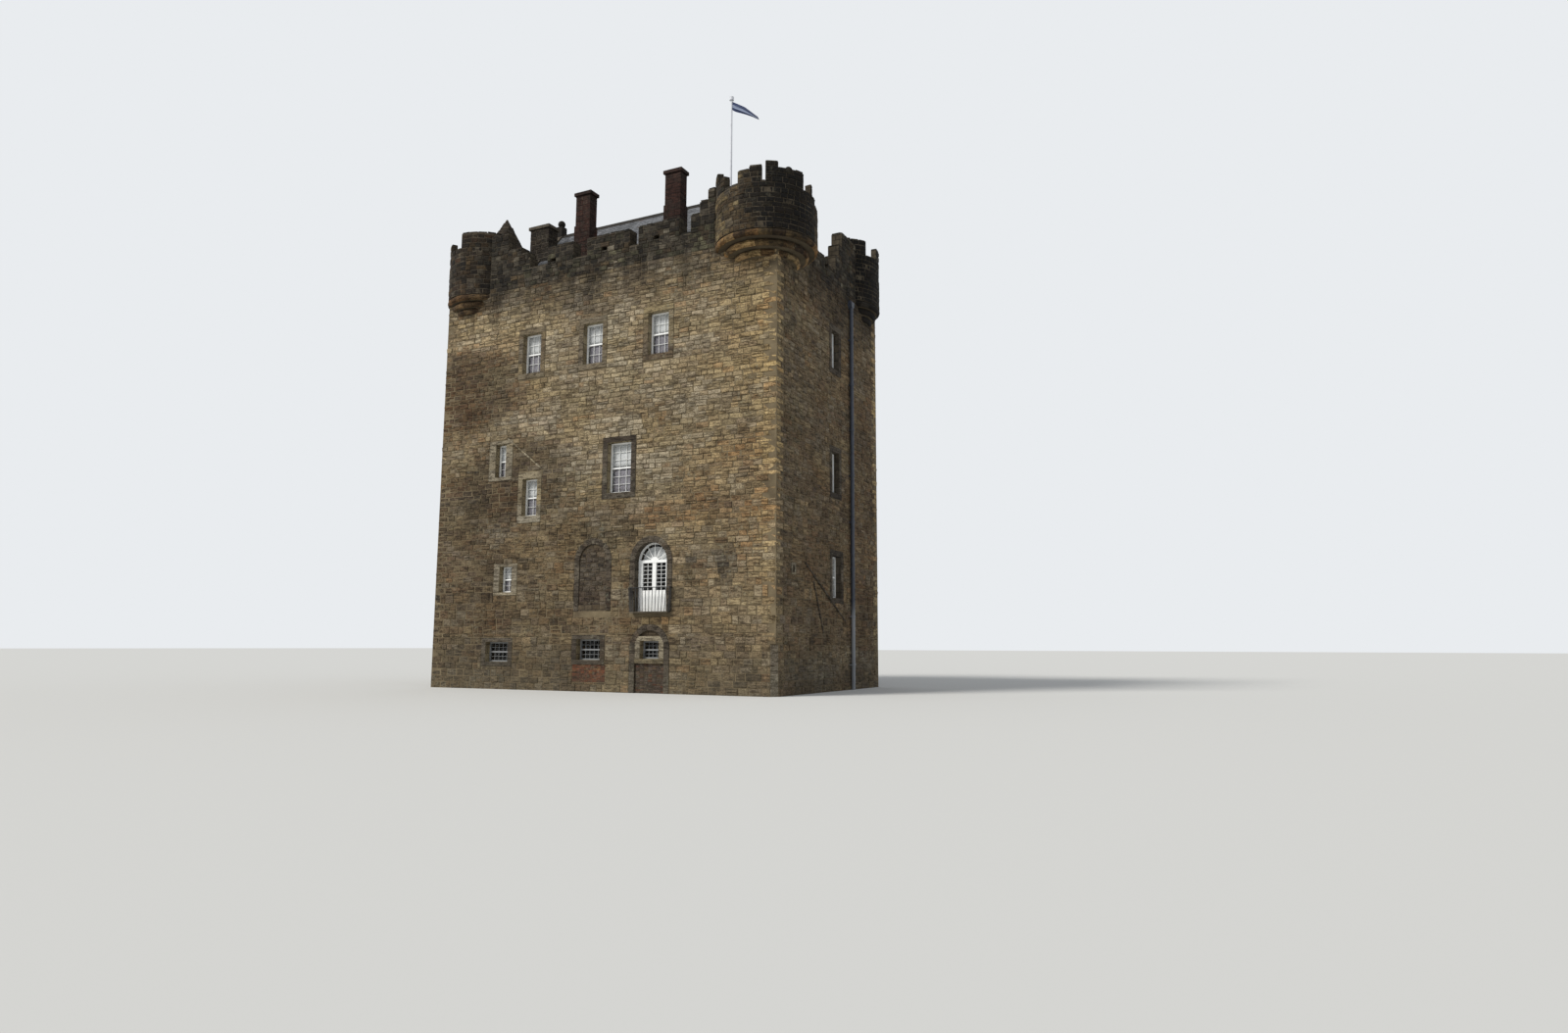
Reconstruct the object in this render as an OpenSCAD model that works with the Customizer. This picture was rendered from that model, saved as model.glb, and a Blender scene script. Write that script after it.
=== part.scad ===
// Late medieval tower keep: a plain oblong of thick stone walls, with a crenellated parapet, four open corner
// rounds on rolled corbelling, and a slated cap-house with chimneys inside the wall walk. Millimetres, +Z up.
// The origin is the centre of the plan, on the ground. The long front faces -Y and the short side faces +X.

/* [Tower] */
// Length of the long front
tower_length = 18300; // [16500:100:21000]
// Depth of the tower, front to back
tower_depth = 11100; // [10500:100:13000]
// Height of the wall head, where the parapet starts
wall_head = 18900; // [18500:50:20500]
// Thickness of the walls in the top full storey
wall_thickness = 2600; // [2400:50:2900]
// Ledge that each storey leaves inside to carry the floor above
scarcement = 150; // [80:10:200]

/* [Floors] */
// Thickness of the ground floor slab
ground_slab = 200; // [120:10:300]
// Thickness of each upper floor
floor_depth = 300; // [200:10:350]
// Walking level of the first floor, level with the balcony
first_level = 3400; // [3250:10:3600]
// Walking level of the second floor
second_level = 7600; // [7250:50:7750]
// Walking level of the third floor
third_level = 13600; // [12500:50:14000]

/* [Parapet and walk] */
// Thickness of the parapet
parapet_thickness = 550; // [400:10:600]
// Height of the crenel sills above the wall head
sill_height = 900; // [700:10:1000]
// Height of the short side's parapet sill above the wall head
side_sill = 550; // [400:10:650]
// Height of the merlons above the wall head
merlon_height = 1700; // [1500:10:1900]
// Thickness of the walk's paving
paving = 100; // [60:5:150]
// Width of the shot holes through the parapets
shot_w = 300; // [200:5:350]
// Height of the shot holes
shot_h = 210; // [120:5:240]
// Distance from the outer wall face to the cap-house wall
walk_reach = 2050; // [1900:10:2150]

/* [Corner rounds] */
// Outer radius of the three smaller rounds
round_radius = 1860; // [1750:10:2000]
// Distance of their centres from both wall faces
round_inset = 1250; // [1150:10:1350]
// Outer radius of the great round at the front right corner
great_radius = 2220; // [2100:10:2300]
// Distance of its centre from both wall faces
great_inset = 1070; // [1000:10:1150]
// Thickness of the round's wall
round_wall = 450; // [350:10:550]
// Height of the smaller rounds' sills above the wall head
round_sill = 2360; // [2100:10:2600]
// Height of the smaller rounds' merlons above the wall head
round_merlon = 3100; // [2900:10:3400]
// Height of the great round's sills above the wall head
great_sill = 2000; // [1800:10:2100]
// Height of the great round's tallest merlon above the wall head
great_merlon = 3000; // [2900:10:3300]
// Height of the great round's lowest stretch, beside the short side
great_low = 1550; // [1400:10:1600]
// Height of each of the three corbel rolls
roll_height = 290; // [220:5:320]

/* [Cap-house] */
// Height of the eaves above the wall head
eaves_height = 1100; // [900:10:1300]
// Height of the ridge above the wall head
ridge_height = 5150; // [4900:50:5600]
// Thickness of the roof's slates and boards, square to the slope
roof_thickness = 180; // [120:5:220]
// Thickness of the gable walls
gable_thickness = 400; // [350:10:500]
// Height of the gable copings above the slates
coping_rise = 140; // [100:5:200]
// Radius of the ball finials
ball_radius = 200; // [120:5:220]
// Height of the block under a ball finial
finial_block = 590; // [500:10:700]
// Half width of the ridge capping
ridge_reach = 220; // [150:10:280]
// Thickness of the ridge capping
ridge_thick = 65; // [40:5:90]

/* [Chimneys] */
// Width of the two red chimneys
chimney_w = 850; // [700:10:1000]
// Depth of the two red chimneys
chimney_d = 520; // [450:10:700]
// Half of the distance between them
chimney_half_gap = 2620; // [2200:10:3000]
// Height of their caps above the wall head
chimney_height = 5100; // [4800:50:5600]
// Height of their wider lower part above the wall head
chimney_base_h = 3550; // [3200:50:3900]
// How far the lower part stands out all round
chimney_base_out = 40; // [20:5:60]
// How far the chimneys stand out from the cap-house wall
chimney_forward = 50; // [30:5:100]
// How far a cap stands out all round
cap_out = 80; // [40:5:110]
// Thickness of a cap
cap_depth = 160; // [100:5:220]
// Width of the squat stone stack
stack_w = 1200; // [1100:10:1300]
// Depth of the squat stone stack
stack_d = 720; // [600:10:800]
// Height of the squat stone stack above the wall head
stack_height = 4850; // [4600:50:5100]

/* [Stair turret] */
// Radius of the stair turret
turret_radius = 880; // [800:10:950]
// Height of its drum above the wall head
turret_height = 2850; // [2500:50:3100]
// Height of its cone
cone_height = 1900; // [1600:50:2300]
// How far the cone oversails the drum
cone_over = 170; // [80:5:200]
// Thickness of the turret's wall
turret_wall = 250; // [200:10:350]

/* [Flagpole] */
// Height of the pole above the paving
pole_height = 7900; // [6500:50:8500]
// Distance of the pole in from the right gable's outer face
pole_inset = 1300; // [800:10:2500]
// Distance of the pole out from the cap-house's front wall
pole_gap = 150; // [150:5:300]
// Radius of the pole at its foot
pole_radius = 60; // [45:1:80]
// Length of the flag along the fly
flag_fly = 1500; // [1200:10:1900]
// Share of its radius that the pole loses from foot to head
pole_taper = 0.3; // [0.1:0.05:0.5]
// Distance of the flag's top below the pole's head
flag_drop = 240; // [200:10:500]
// Thickness of the flag's folds
flag_fold = 60; // [30:5:90]

/* [Top windows] */
// Width of the top windows
top_w = 1060; // [850:10:1150]
// Height of the top windows
top_h = 1900; // [1700:10:2050]
// Sill level of the top windows
top_sill = 14600; // [14300:10:14700]
// Spacing of the three windows in the long walls
top_spacing = 3540; // [3200:10:3800]

/* [Middle windows] */
// Width of the large second-floor window
mid_w = 1260; // [1050:10:1350]
// Height of the large second-floor window
mid_h = 2250; // [2000:10:2400]
// Sill level of the large second-floor window
mid_sill = 8600; // [8450:10:8750]
// Width of the short side's windows
side_w = 800; // [700:10:1000]

/* [Small windows] */
// Width of the narrow stair windows
narrow_w = 620; // [540:10:700]
// Height of the narrow stair windows
narrow_h = 1550; // [1350:10:1700]
// Width of the cellar windows
cellar_w = 1260; // [1050:10:1350]
// Height of the cellar windows
cellar_h = 890; // [700:10:920]
// Sill level of the cellar windows
cellar_sill = 1350; // [1200:10:1450]

/* [Window joinery] */
// Face width of the dressed stone margin round a window
margin_w = 260; // [200:10:320]
// How far the margins stand proud of the rubble
margin_proud = 15; // [5:1:40]
// Depth of the margin stones into the wall
margin_depth = 300; // [260:10:380]
// Depth of the sash behind the wall face
reveal = 250; // [180:5:250]
// Depth of a sash frame
sash_depth = 100; // [80:5:120]
// Face width of a sash frame
sash_face = 65; // [45:1:80]
// Thickness of the glass
glass = 10; // [6:1:12]
// How much wider each side of an opening is on the room side
splay = 350; // [250:10:400]

/* [Balcony door] */
// Distance of the balcony door's centre line from the tower's
balcony_x = 3200; // [2900:10:3500]
// Width of the balcony door's opening
door_w = 1600; // [1450:10:1700]
// Height of the springing above the first floor
door_spring = 2140; // [2000:10:2300]
// Face width of the arched surround
arch_face = 270; // [200:10:320]
// Height of the glazed part of a leaf above the first floor
leaf_foot = 910; // [850:10:1000]
// Height of the glazed part of a leaf
leaf_glass_h = 1190; // [1000:10:1220]
// Width of the glazed part of a leaf
leaf_glass_w = 490; // [420:10:520]
// Width of the balcony's slab
balcony_w = 1900; // [1750:10:2100]
// Thickness of the balcony's slab
slab_depth = 60; // [50:5:90]
// How far the balcony's middle lies to the right of the door's
balcony_shift = 60; // [0:10:100]
// How far the balcony stands out
balcony_out = 220; // [180:10:320]
// How far the railing leans out at each end, from the slab to the rail
rail_flare = 100; // [40:10:150]
// Height of the balcony's rail
rail_height = 1020; // [900:10:1100]
// Side of a railing bar
bar = 20; // [16:1:30]
// Number of railing bars
bar_count = 13; // [9:1:17]

/* [Blocked openings] */
// Width of the blocked doorway inside its jambs
blocked_w = 1460; // [1300:10:1600]
// Springing level of the blocked doorway
blocked_spring = 1870; // [1700:10:2000]
// Depth that the blocking is set back
blocking_back = 60; // [30:5:90]
// Distance of the blocked window's centre line from the tower's
blocked_x = 150; // [0:10:300]
// Foot of the blocked window's surround
blocked_foot = 3450; // [3300:10:3600]
// Springing level of the blocked window
blocked_arch = 5650; // [5500:10:5800]
// Depth of the splay at the foot of the corner between the long front and the right side
corner_cut = 250; // [150:10:300]
// Height of that splay
corner_cut_h = 2060; // [1800:10:2300]

/* [Rain water] */
// Radius of the downpipe
pipe_radius = 90; // [60:1:100]
// Gap between the pipe and the wall
pipe_gap = 45; // [30:1:60]
// Distance of the downpipe from the rear corner
pipe_inset = 3500; // [3300:10:3700]
// Height of the hopper head
hopper_h = 300; // [200:10:400]
// Distance of the hopper's top below the wall head
hopper_drop = 480; // [400:10:600]
// Spacing of the pipe's brackets
bracket_pitch = 2200; // [1800:50:2600]

/* [Entrance] */
// Width of the entrance in the rear wall
entry_w = 1300; // [1100:10:1450]
// Springing level of the entrance
entry_spring = 1750; // [1500:10:1850]
// Distance of the entrance's centre line from the tower's
entry_x = 3200; // [2900:10:3500]

/* [Hidden] */
$fn = 180;
half_l = tower_length / 2;
half_d = tower_depth / 2;
eps = 1;
over = 400;
sewn = 0.3;

// Storeys: the level where each wall layer starts, and its thickness, from the ground up
layer_z = [0, first_level - floor_depth, second_level - floor_depth, third_level - floor_depth,
           wall_head - floor_depth, wall_head];
layer_t = [for (i = [0:4]) wall_thickness + (3 - i) * scarcement];

// Colours
rubble_c = [0.56, 0.47, 0.36];
dressed_c = [0.66, 0.60, 0.48];
dark_stone_c = [0.30, 0.27, 0.23];
red_stone_c = [0.42, 0.25, 0.19];
slate_c = [0.45, 0.46, 0.49];
timber_c = [0.42, 0.31, 0.20];
white_c = [0.90, 0.91, 0.90];
glass_c = [0.20, 0.25, 0.30];
iron_c = [0.10, 0.10, 0.11];

// Children are drawn against one wall: X runs along it, Y goes into it from its outer face
module at_front() { translate([0, -half_d, 0]) children(); }
module at_right() { translate([half_l, 0, 0]) rotate([0, 0, 90]) children(); }
module at_back() { translate([0, half_d, 0]) rotate([0, 0, 180]) children(); }
module at_left() { translate([-half_l, 0, 0]) rotate([0, 0, -90]) children(); }

// A flat shape in X and Z, cut or raised from depth a to depth b of a wall
module into_wall(a, b) { translate([0, b, 0]) rotate([90, 0, 0]) linear_extrude(b - a) children(); }

// Outline of a round-headed opening on its centre line
module arch(w, foot, spring) {
    translate([-w / 2, foot]) square([w, spring - foot]);
    translate([0, spring]) intersection() {
        circle(d = w);
        translate([-w, 0]) square([2 * w, w]);
    }
}

// Windows along each wall, seen from outside, as
// [centre, sill level, width, height, width of the side margins, height of the sill and lintel]
front_windows = [
    [-200 - top_spacing, top_sill, top_w, top_h, margin_w, margin_w],
    [-200, top_sill, top_w, top_h, margin_w, margin_w],
    [-200 + top_spacing, top_sill, top_w, top_h, margin_w, margin_w],
    [1420, mid_sill, mid_w, mid_h, margin_w, margin_w],
    [-5370, 9780, narrow_w, narrow_h, margin_w + 140, margin_w - 80],
    [-3570, 7850, narrow_w + 240, narrow_h + 170, margin_w, margin_w + 60],
    [-4810, 4380, narrow_w + 100, narrow_h - 370, margin_w + 80, margin_w - 120]
];
front_cellars = [
    [-5160, cellar_sill - 120, cellar_w + 60, cellar_h, margin_w, margin_w - 60],
    [20, cellar_sill, cellar_w, cellar_h, margin_w, margin_w - 60],
    [balcony_x, cellar_sill + 80, cellar_w - 320, cellar_h - 150, margin_w, margin_w - 60]
];
side_windows = [
    [370, top_sill + 80, side_w, top_h - 80, margin_w, margin_w],
    [370, mid_sill + 280, side_w, top_h - 20, margin_w, margin_w],
    [450, 4120, side_w + 160, top_h - 20, margin_w, margin_w]
];
back_windows = [
    [-top_spacing, top_sill, top_w, top_h, margin_w, margin_w],
    [0, top_sill, top_w, top_h, margin_w, margin_w],
    [top_spacing, top_sill, top_w, top_h, margin_w, margin_w],
    [-1420, mid_sill, mid_w, mid_h, margin_w, margin_w],
    [4600, 9780, narrow_w, narrow_h, margin_w + 140, margin_w - 80],
    [-4810, 4380, narrow_w + 100, narrow_h - 370, margin_w + 80, margin_w - 120]
];
back_cellars = [
    [-5160, cellar_sill, cellar_w, cellar_h, margin_w, margin_w - 60],
    [0, cellar_sill, cellar_w, cellar_h, margin_w, margin_w - 60]
];
slit = [-3990, 4990, 140, 290, margin_w - 100, margin_w - 160];

// Wall layers

// One wall as a stack of layers that step back at each floor; "short" walls stand between the long ones
module wall_body(long) {
    for (i = [0:4]) {
        len = long ? tower_length : tower_depth - 2 * layer_t[i];
        translate([-len / 2, 0, layer_z[i]]) cube([len, layer_t[i], layer_z[i + 1] - layer_z[i]]);
    }
}

// The hole that a window takes out of a wall, with a pocket for its margin stones and a splayed inside
module window_hole(w) {
    depth = layer_t[0] + over;
    translate([w[0], 0, w[1]]) {
        translate([-w[2] / 2 - w[4], -over, -w[5]])
            cube([w[2] + 2 * w[4], over + margin_depth, w[3] + 2 * w[5]]);
        translate([-w[2] / 2, 0, 0]) cube([w[2], reveal + sash_depth + eps, w[3]]);
        linear_extrude(w[3]) polygon([
            [-w[2] / 2, reveal + sash_depth], [w[2] / 2, reveal + sash_depth],
            [w[2] / 2 + splay, depth], [-w[2] / 2 - splay, depth]]);
    }
}

// A round-headed doorway through a wall, with a pocket for its surround
module door_hole(x, w, foot, spring, face) {
    translate([x, 0, 0]) {
        into_wall(-over, margin_depth) arch(w + 2 * face, foot, spring);
        into_wall(0, layer_t[0] + over) arch(w, foot, spring);
    }
}

module front_wall() {
    color(rubble_c) difference() {
        at_front() front_wall_body();
        at_right() slit_hole();
        translate([half_l, -half_d, -eps]) linear_extrude(corner_cut_h)
            polygon([[-corner_cut, -eps], [eps, -eps], [eps, corner_cut]]);
    }
}

// The slit in the tower's corner, which ends blind behind its glass
module slit_hole() {
    translate([slit[0] - slit[2] / 2, 0, slit[1]]) {
        translate([-slit[4], -over, -slit[5]])
            cube([slit[2] + 2 * slit[4], over + margin_depth, slit[3] + 2 * slit[5]]);
        cube([slit[2], margin_depth + over, slit[3]]);
    }
}

module front_wall_body() {
    difference() {
        wall_body(true);
        for (w = concat(front_windows, front_cellars)) window_hole(w);
        door_hole(balcony_x, door_w, first_level, first_level + door_spring, arch_face);
        translate([balcony_x, 0, 0]) into_wall(-over, margin_depth)
            difference() {
                arch(blocked_w + 2 * arch_face, 0, blocked_spring);
                translate([-balcony_x, 0]) margin_outline(front_cellars[2]);
            }
        translate([blocked_x, 0, 0]) into_wall(-over, margin_depth)
            arch(blocked_w + 2 * arch_face, blocked_foot, blocked_arch);
    }
}

// The outline of a window's margin stones, on the wall's own axes
module margin_outline(w) {
    translate([w[0] - w[2] / 2 - w[4], w[1] - w[5]]) square([w[2] + 2 * w[4], w[3] + 2 * w[5]]);
}

module right_wall() {
    color(rubble_c) at_right() difference() {
        wall_body(false);
        for (w = side_windows) window_hole(w);
    }
}

module back_wall() {
    color(rubble_c) at_back() difference() {
        wall_body(true);
        for (w = concat(back_windows, back_cellars)) window_hole(w);
        door_hole(entry_x, entry_w, 0, entry_spring, arch_face);
    }
}

module left_wall() {
    color(rubble_c) at_left() difference() {
        wall_body(false);
        for (w = side_windows) window_hole(w);
    }
}

// Floors

// A floor that rests on the ledge of the storey below and fills the room above it
module floor_slab(i) {
    w = tower_length - 2 * layer_t[i];
    d = tower_depth - 2 * layer_t[i];
    translate([-w / 2, -d / 2, layer_z[i]]) cube([w, d, floor_depth]);
}

module ground_floor() {
    w = tower_length - 2 * layer_t[0];
    d = tower_depth - 2 * layer_t[0];
    color(dressed_c) translate([-w / 2, -d / 2, 0]) cube([w, d, ground_slab]);
}

module first_floor() { color(dressed_c) floor_slab(1); }
module second_floor() { color(timber_c) floor_slab(2); }
module third_floor() { color(timber_c) floor_slab(3); }
module attic_floor() { color(timber_c) floor_slab(4); }

// Rounds

// Children are drawn from a corner of the tower, with the inside of the tower towards +X and +Y
module at_corner(sx, sy) {
    translate([sx * half_l, sy * half_d, 0])
        rotate([0, 0, sx < 0 ? (sy < 0 ? 0 : -90) : (sy < 0 ? 90 : 180)]) children();
}

// Everything inside the parapet's inner face, which a round leaves open to the walk
module walk_side(c) {
    translate([c, parapet_thickness, -over]) cube([2 * tower_depth, 2 * tower_depth, 2 * wall_head]);
    translate([parapet_thickness, c, -over]) cube([2 * tower_depth, 2 * tower_depth, 2 * wall_head]);
}

// Everything over a level between two angles, seen from above
module sector_over(a0, a1, z) {
    reach = 2 * great_radius;
    translate([0, 0, z]) linear_extrude(over + great_radius) polygon([
        [0, 0], [reach * cos(a0), reach * sin(a0)],
        [reach * cos((a0 + a1) / 2) / cos((a1 - a0) / 2), reach * sin((a0 + a1) / 2) / cos((a1 - a0) / 2)],
        [reach * cos(a1), reach * sin(a1)]]);
}

// The drum of a round; each stretch of its rim is [start angle, end angle, height above the wall head]
module round_drum(c, r, height, rim) {
    difference() {
        translate([c, c, wall_head]) difference() {
            cylinder(r = r, h = height);
            translate([0, 0, -eps]) cylinder(r = r - round_wall, h = height + 2 * eps);
            for (m = rim) if (m[2] < height) sector_over(m[0], m[1], m[2]);
        }
        walk_side(c);
    }
}

// Three rolls under a round, each a half-round moulding, cut to the two wall faces
module round_corbel(c, r) {
    roll_step = (r - c) / 3;
    difference() {
        translate([c, c, wall_head - 3 * roll_height]) rotate_extrude() {
            for (k = [0:2]) {
                radius = r - (2 - k) * roll_step;
                translate([0, k * roll_height]) square([radius - roll_height / 2, roll_height]);
                translate([radius - roll_height / 2, (k + 0.5) * roll_height])
                    circle(d = roll_height, $fn = 32);
            }
        }
        translate([0, 0, -over]) cube([2 * tower_length, 2 * tower_length, 2 * wall_head]);
    }
}

// Stretches of the rounds' rims that lie under their tallest merlons,
// by the angle from +X in each corner's frame
great_rim = [
    [90, 121, great_merlon - 150], [135, 159, great_merlon - 450], [159, 169, great_sill],
    [169, 188, great_merlon - 450], [188, 200, great_merlon - 350], [200, 202, great_sill],
    [202, 220, great_merlon - 150], [220, 248, great_merlon - 400], [248, 254, great_sill - 130],
    [254, 263, great_merlon - 700], [263, 272, great_sill - 160], [272, 360, great_low]
];
front_left_rim = [[137, 147, round_sill], [184, 194, round_sill], [221, 231, round_sill],
                  [231, 259, round_merlon - 100], [259, 269, round_sill]];
back_right_rim = [[151, 164, round_sill], [192, 202, round_sill], [240, 250, round_sill]];
back_left_rim = [[137, 147, round_sill], [190, 200, round_sill], [244, 254, round_sill]];

module front_right_round() {
    color(dark_stone_c) at_corner(1, -1) round_drum(great_inset, great_radius, great_merlon, great_rim);
}
module front_left_round() {
    color(dark_stone_c) at_corner(-1, -1) round_drum(round_inset, round_radius, round_merlon, front_left_rim);
}
module back_right_round() {
    color(dark_stone_c) at_corner(1, 1) round_drum(round_inset, round_radius, round_merlon, back_right_rim);
}
module back_left_round() {
    color(dark_stone_c) at_corner(-1, 1) round_drum(round_inset, round_radius, round_merlon, back_left_rim);
}

module corbelling() {
    color(dressed_c) {
        at_corner(1, -1) round_corbel(great_inset, great_radius);
        for (s = [[-1, -1], [1, 1], [-1, 1]]) at_corner(s[0], s[1]) round_corbel(round_inset, round_radius);
    }
}

// The space that the four drums take out of what lies on the wall head
module drums_solid() {
    at_corner(1, -1) translate([great_inset, great_inset, wall_head - over])
        cylinder(r = great_radius, h = 3 * merlon_height);
    for (s = [[-1, -1], [1, 1], [-1, 1]]) at_corner(s[0], s[1])
        translate([round_inset, round_inset, wall_head - over])
            cylinder(r = round_radius, h = 3 * merlon_height);
}

// Parapets

// One straight parapet, with heights above the wall head: merlons are [start, end, height],
// holes are [centre, height of the lower edge]
module parapet_run(len, sill, merlons, holes) {
    difference() {
        union() {
            translate([-len / 2, 0, wall_head]) cube([len, parapet_thickness, sill]);
            for (m = merlons) translate([m[0], 0, wall_head + sill - eps])
                cube([m[1] - m[0], parapet_thickness, m[2] - sill + eps]);
        }
        for (h = holes) translate([h[0] - shot_w / 2, -eps, wall_head + h[1]])
            cube([shot_w, parapet_thickness + 2 * eps, shot_h]);
    }
}

front_merlons = [
    [-6900, -5450, 2900], [-5450, -4600, 2000], [-4600, -4200, 1700], [-4200, -4070, 1400],
    [-3010, -1500, merlon_height], [-700, 1680, merlon_height], [2160, 4340, merlon_height],
    [4910, 5360, merlon_height], [5360, 5770, 2210], [5770, 6600, 2700]
];
shot_level = sill_height + 60;
right_merlons = [[-3200, -300, side_sill + 250], [480, 850, 1350], [850, 1260, 2000], [1260, 3400, 2750]];
back_merlons = [[-6900, -5000, 2150], [-4200, -2200, merlon_height], [-1400, 600, merlon_height],
                [1400, 3400, merlon_height], [4200, 6900, 2150]];
left_merlons = [[-3400, -1500, 2150], [-700, 900, merlon_height], [1700, 3400, 2150]];

module front_parapet() {
    color(dark_stone_c) difference() {
        at_front() parapet_run(tower_length - 2 * great_inset, sill_height, front_merlons,
            [[-2670, shot_level], [290, shot_level], [3130, shot_level]]);
        drums_solid();
    }
}
module right_parapet() {
    color(dark_stone_c) difference() {
        at_right() parapet_run(tower_depth - 2 * great_inset, side_sill, right_merlons,
            [[-600, side_sill - shot_h]]);
        drums_solid();
    }
}
module back_parapet() {
    color(dark_stone_c) difference() {
        at_back() parapet_run(tower_length - 2 * round_inset, sill_height, back_merlons,
            [[-3200, shot_level], [-400, shot_level], [2400, shot_level]]);
        drums_solid();
    }
}
module left_parapet() {
    color(dark_stone_c) difference() {
        at_left() parapet_run(tower_depth - 2 * round_inset, sill_height, left_merlons,
            [[100, shot_level]]);
        drums_solid();
    }
}

// Paving of the walk, inside the parapets and the drums and round the cap-house and the turret
module wall_walk() {
    color(dressed_c) difference() {
        union() {
            translate([-half_l + parapet_thickness, -half_d + parapet_thickness, wall_head])
                cube([tower_length - 2 * parapet_thickness, tower_depth - 2 * parapet_thickness, paving]);
            at_corner(1, -1) translate([great_inset, great_inset, wall_head])
                cylinder(r = great_radius - round_wall, h = paving);
            for (s = [[-1, -1], [1, 1], [-1, 1]]) at_corner(s[0], s[1])
                translate([round_inset, round_inset, wall_head])
                    cylinder(r = round_radius - round_wall, h = paving);
        }
        at_corner(1, -1) round_drum(great_inset, great_radius, great_low, []);
        for (s = [[-1, -1], [1, 1], [-1, 1]]) at_corner(s[0], s[1])
            round_drum(round_inset, round_radius, round_sill, []);
        translate([-house_l / 2, -house_d / 2, wall_head - eps]) cube([house_l, house_d, paving + 2 * eps]);
        turret_space();
        chimney_spaces();
        stack_space();
    }
}

// Cap-house

house_l = tower_length - 2 * walk_reach;
house_d = tower_depth - 2 * walk_reach;
house_wall = layer_t[4] - walk_reach;
eaves_z = wall_head + eaves_height;
ridge_z = wall_head + ridge_height;
roof_rise = ridge_z - eaves_z;
pitch = atan2(roof_rise, house_d / 2);
roof_drop = roof_thickness / cos(pitch);
turret_at = [-half_l + 1700, -half_d + 1950];
stack_at = [-house_l / 2 - 310, -house_d / 2 + 1650];

// Outline of the gable in Y and Z, raised by a height over the slates
module gable_outline(up) {
    polygon([
        [-house_d / 2, wall_head], [house_d / 2, wall_head], [house_d / 2, eaves_z + up],
        [0, ridge_z + up], [-house_d / 2, eaves_z + up]]);
}

// Children extruded along X from x0 to x1
module along_x(x0, x1) { translate([x0, 0, 0]) rotate([90, 0, 90]) linear_extrude(x1 - x0) children(); }

module turret_space() {
    translate([turret_at[0], turret_at[1], wall_head - over])
        cylinder(r = turret_radius, h = 3 * turret_height);
}
module chimney_box(s, grow) {
    translate([s * chimney_half_gap - chimney_w / 2 - grow, -house_d / 2 - chimney_forward - grow, wall_head])
        cube([chimney_w + 2 * grow, chimney_d + 2 * grow, chimney_height]);
}
module chimney_spaces() {
    for (s = [-1, 1]) translate([0, 0, -eps]) chimney_box(s, chimney_base_out);
}
module stack_space() {
    translate([stack_at[0], stack_at[1], wall_head - eps]) cube([stack_w, stack_d, stack_height + over]);
}

module left_gable() {
    color(dressed_c) difference() {
        along_x(-house_l / 2, -house_l / 2 + gable_thickness) gable_outline(coping_rise);
        turret_space();
        stack_space();
    }
}
module right_gable() {
    color(dressed_c) along_x(house_l / 2 - gable_thickness, house_l / 2) gable_outline(coping_rise);
}

// The two long walls of the cap-house, with their heads cut to the slope of the roof
module cap_house_walls() {
    slope = roof_rise / (house_d / 2);
    color(dressed_c) difference() {
        for (s = [0, 180]) rotate([0, 0, s])
            along_x(-house_l / 2 + gable_thickness, house_l / 2 - gable_thickness) polygon([
                [-house_d / 2, wall_head], [-house_d / 2 + house_wall, wall_head],
                [-house_d / 2 + house_wall, eaves_z - roof_drop + house_wall * slope],
                [-house_d / 2, eaves_z - roof_drop]]);
        turret_space();
        chimney_spaces();
    }
}
module slate_roof() {
    color(slate_c) difference() {
        along_x(-house_l / 2 + gable_thickness, house_l / 2 - gable_thickness) polygon([
            [-house_d / 2, eaves_z - roof_drop], [0, ridge_z - roof_drop], [house_d / 2, eaves_z - roof_drop],
            [house_d / 2, eaves_z], [0, ridge_z], [-house_d / 2, eaves_z]]);
        turret_space();
        chimney_spaces();
        stack_space();
    }
}
module ridge_capping() {
    drop = ridge_reach * roof_rise / (house_d / 2);
    color(dark_stone_c) along_x(-house_l / 2 + gable_thickness, house_l / 2 - gable_thickness) polygon([
        [-ridge_reach, ridge_z - drop], [0, ridge_z], [ridge_reach, ridge_z - drop],
        [ridge_reach, ridge_z - drop + ridge_thick], [0, ridge_z + ridge_thick],
        [-ridge_reach, ridge_z - drop + ridge_thick]]);
}
module ball_finials() {
    color(dressed_c) for (s = [-1, 1])
        translate([s * (house_l - gable_thickness) / 2, 0, ridge_z + coping_rise]) {
        seat = gable_thickness / 2 * tan(pitch);
        translate([-gable_thickness / 2, -gable_thickness / 2, -seat]) difference() {
            cube([gable_thickness, gable_thickness, finial_block]);
            translate([0, gable_thickness / 2, seat]) along_x(-over, gable_thickness + over)
                polygon([[0, 0], [-over, -over * tan(pitch)], [over, -over * tan(pitch)]]);
        }
        translate([0, 0, finial_block - seat + ball_radius - eps]) sphere(r = ball_radius);
    }
}

module cap_slab(w, d) {
    translate([-cap_out, -cap_out, 0]) cube([w + 2 * cap_out, d + 2 * cap_out, cap_depth]);
}
module red_chimney(s) {
    chimney_box(s, 0);
    intersection() {
        chimney_box(s, chimney_base_out);
        translate([-half_l, -half_d, wall_head]) cube([tower_length, tower_depth, chimney_base_h]);
    }
    translate([s * chimney_half_gap - chimney_w / 2, -house_d / 2 - chimney_forward, 0])
        translate([0, 0, wall_head + chimney_height]) cap_slab(chimney_w, chimney_d);
}
module chimneys() { color(red_stone_c) for (s = [-1, 1]) red_chimney(s); }
module stone_stack() {
    color(dark_stone_c) {
        translate([stack_at[0], stack_at[1], wall_head]) cube([stack_w, stack_d, stack_height]);
        translate([stack_at[0], stack_at[1], wall_head + stack_height - eps]) cap_slab(stack_w, stack_d);
    }
}

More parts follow.
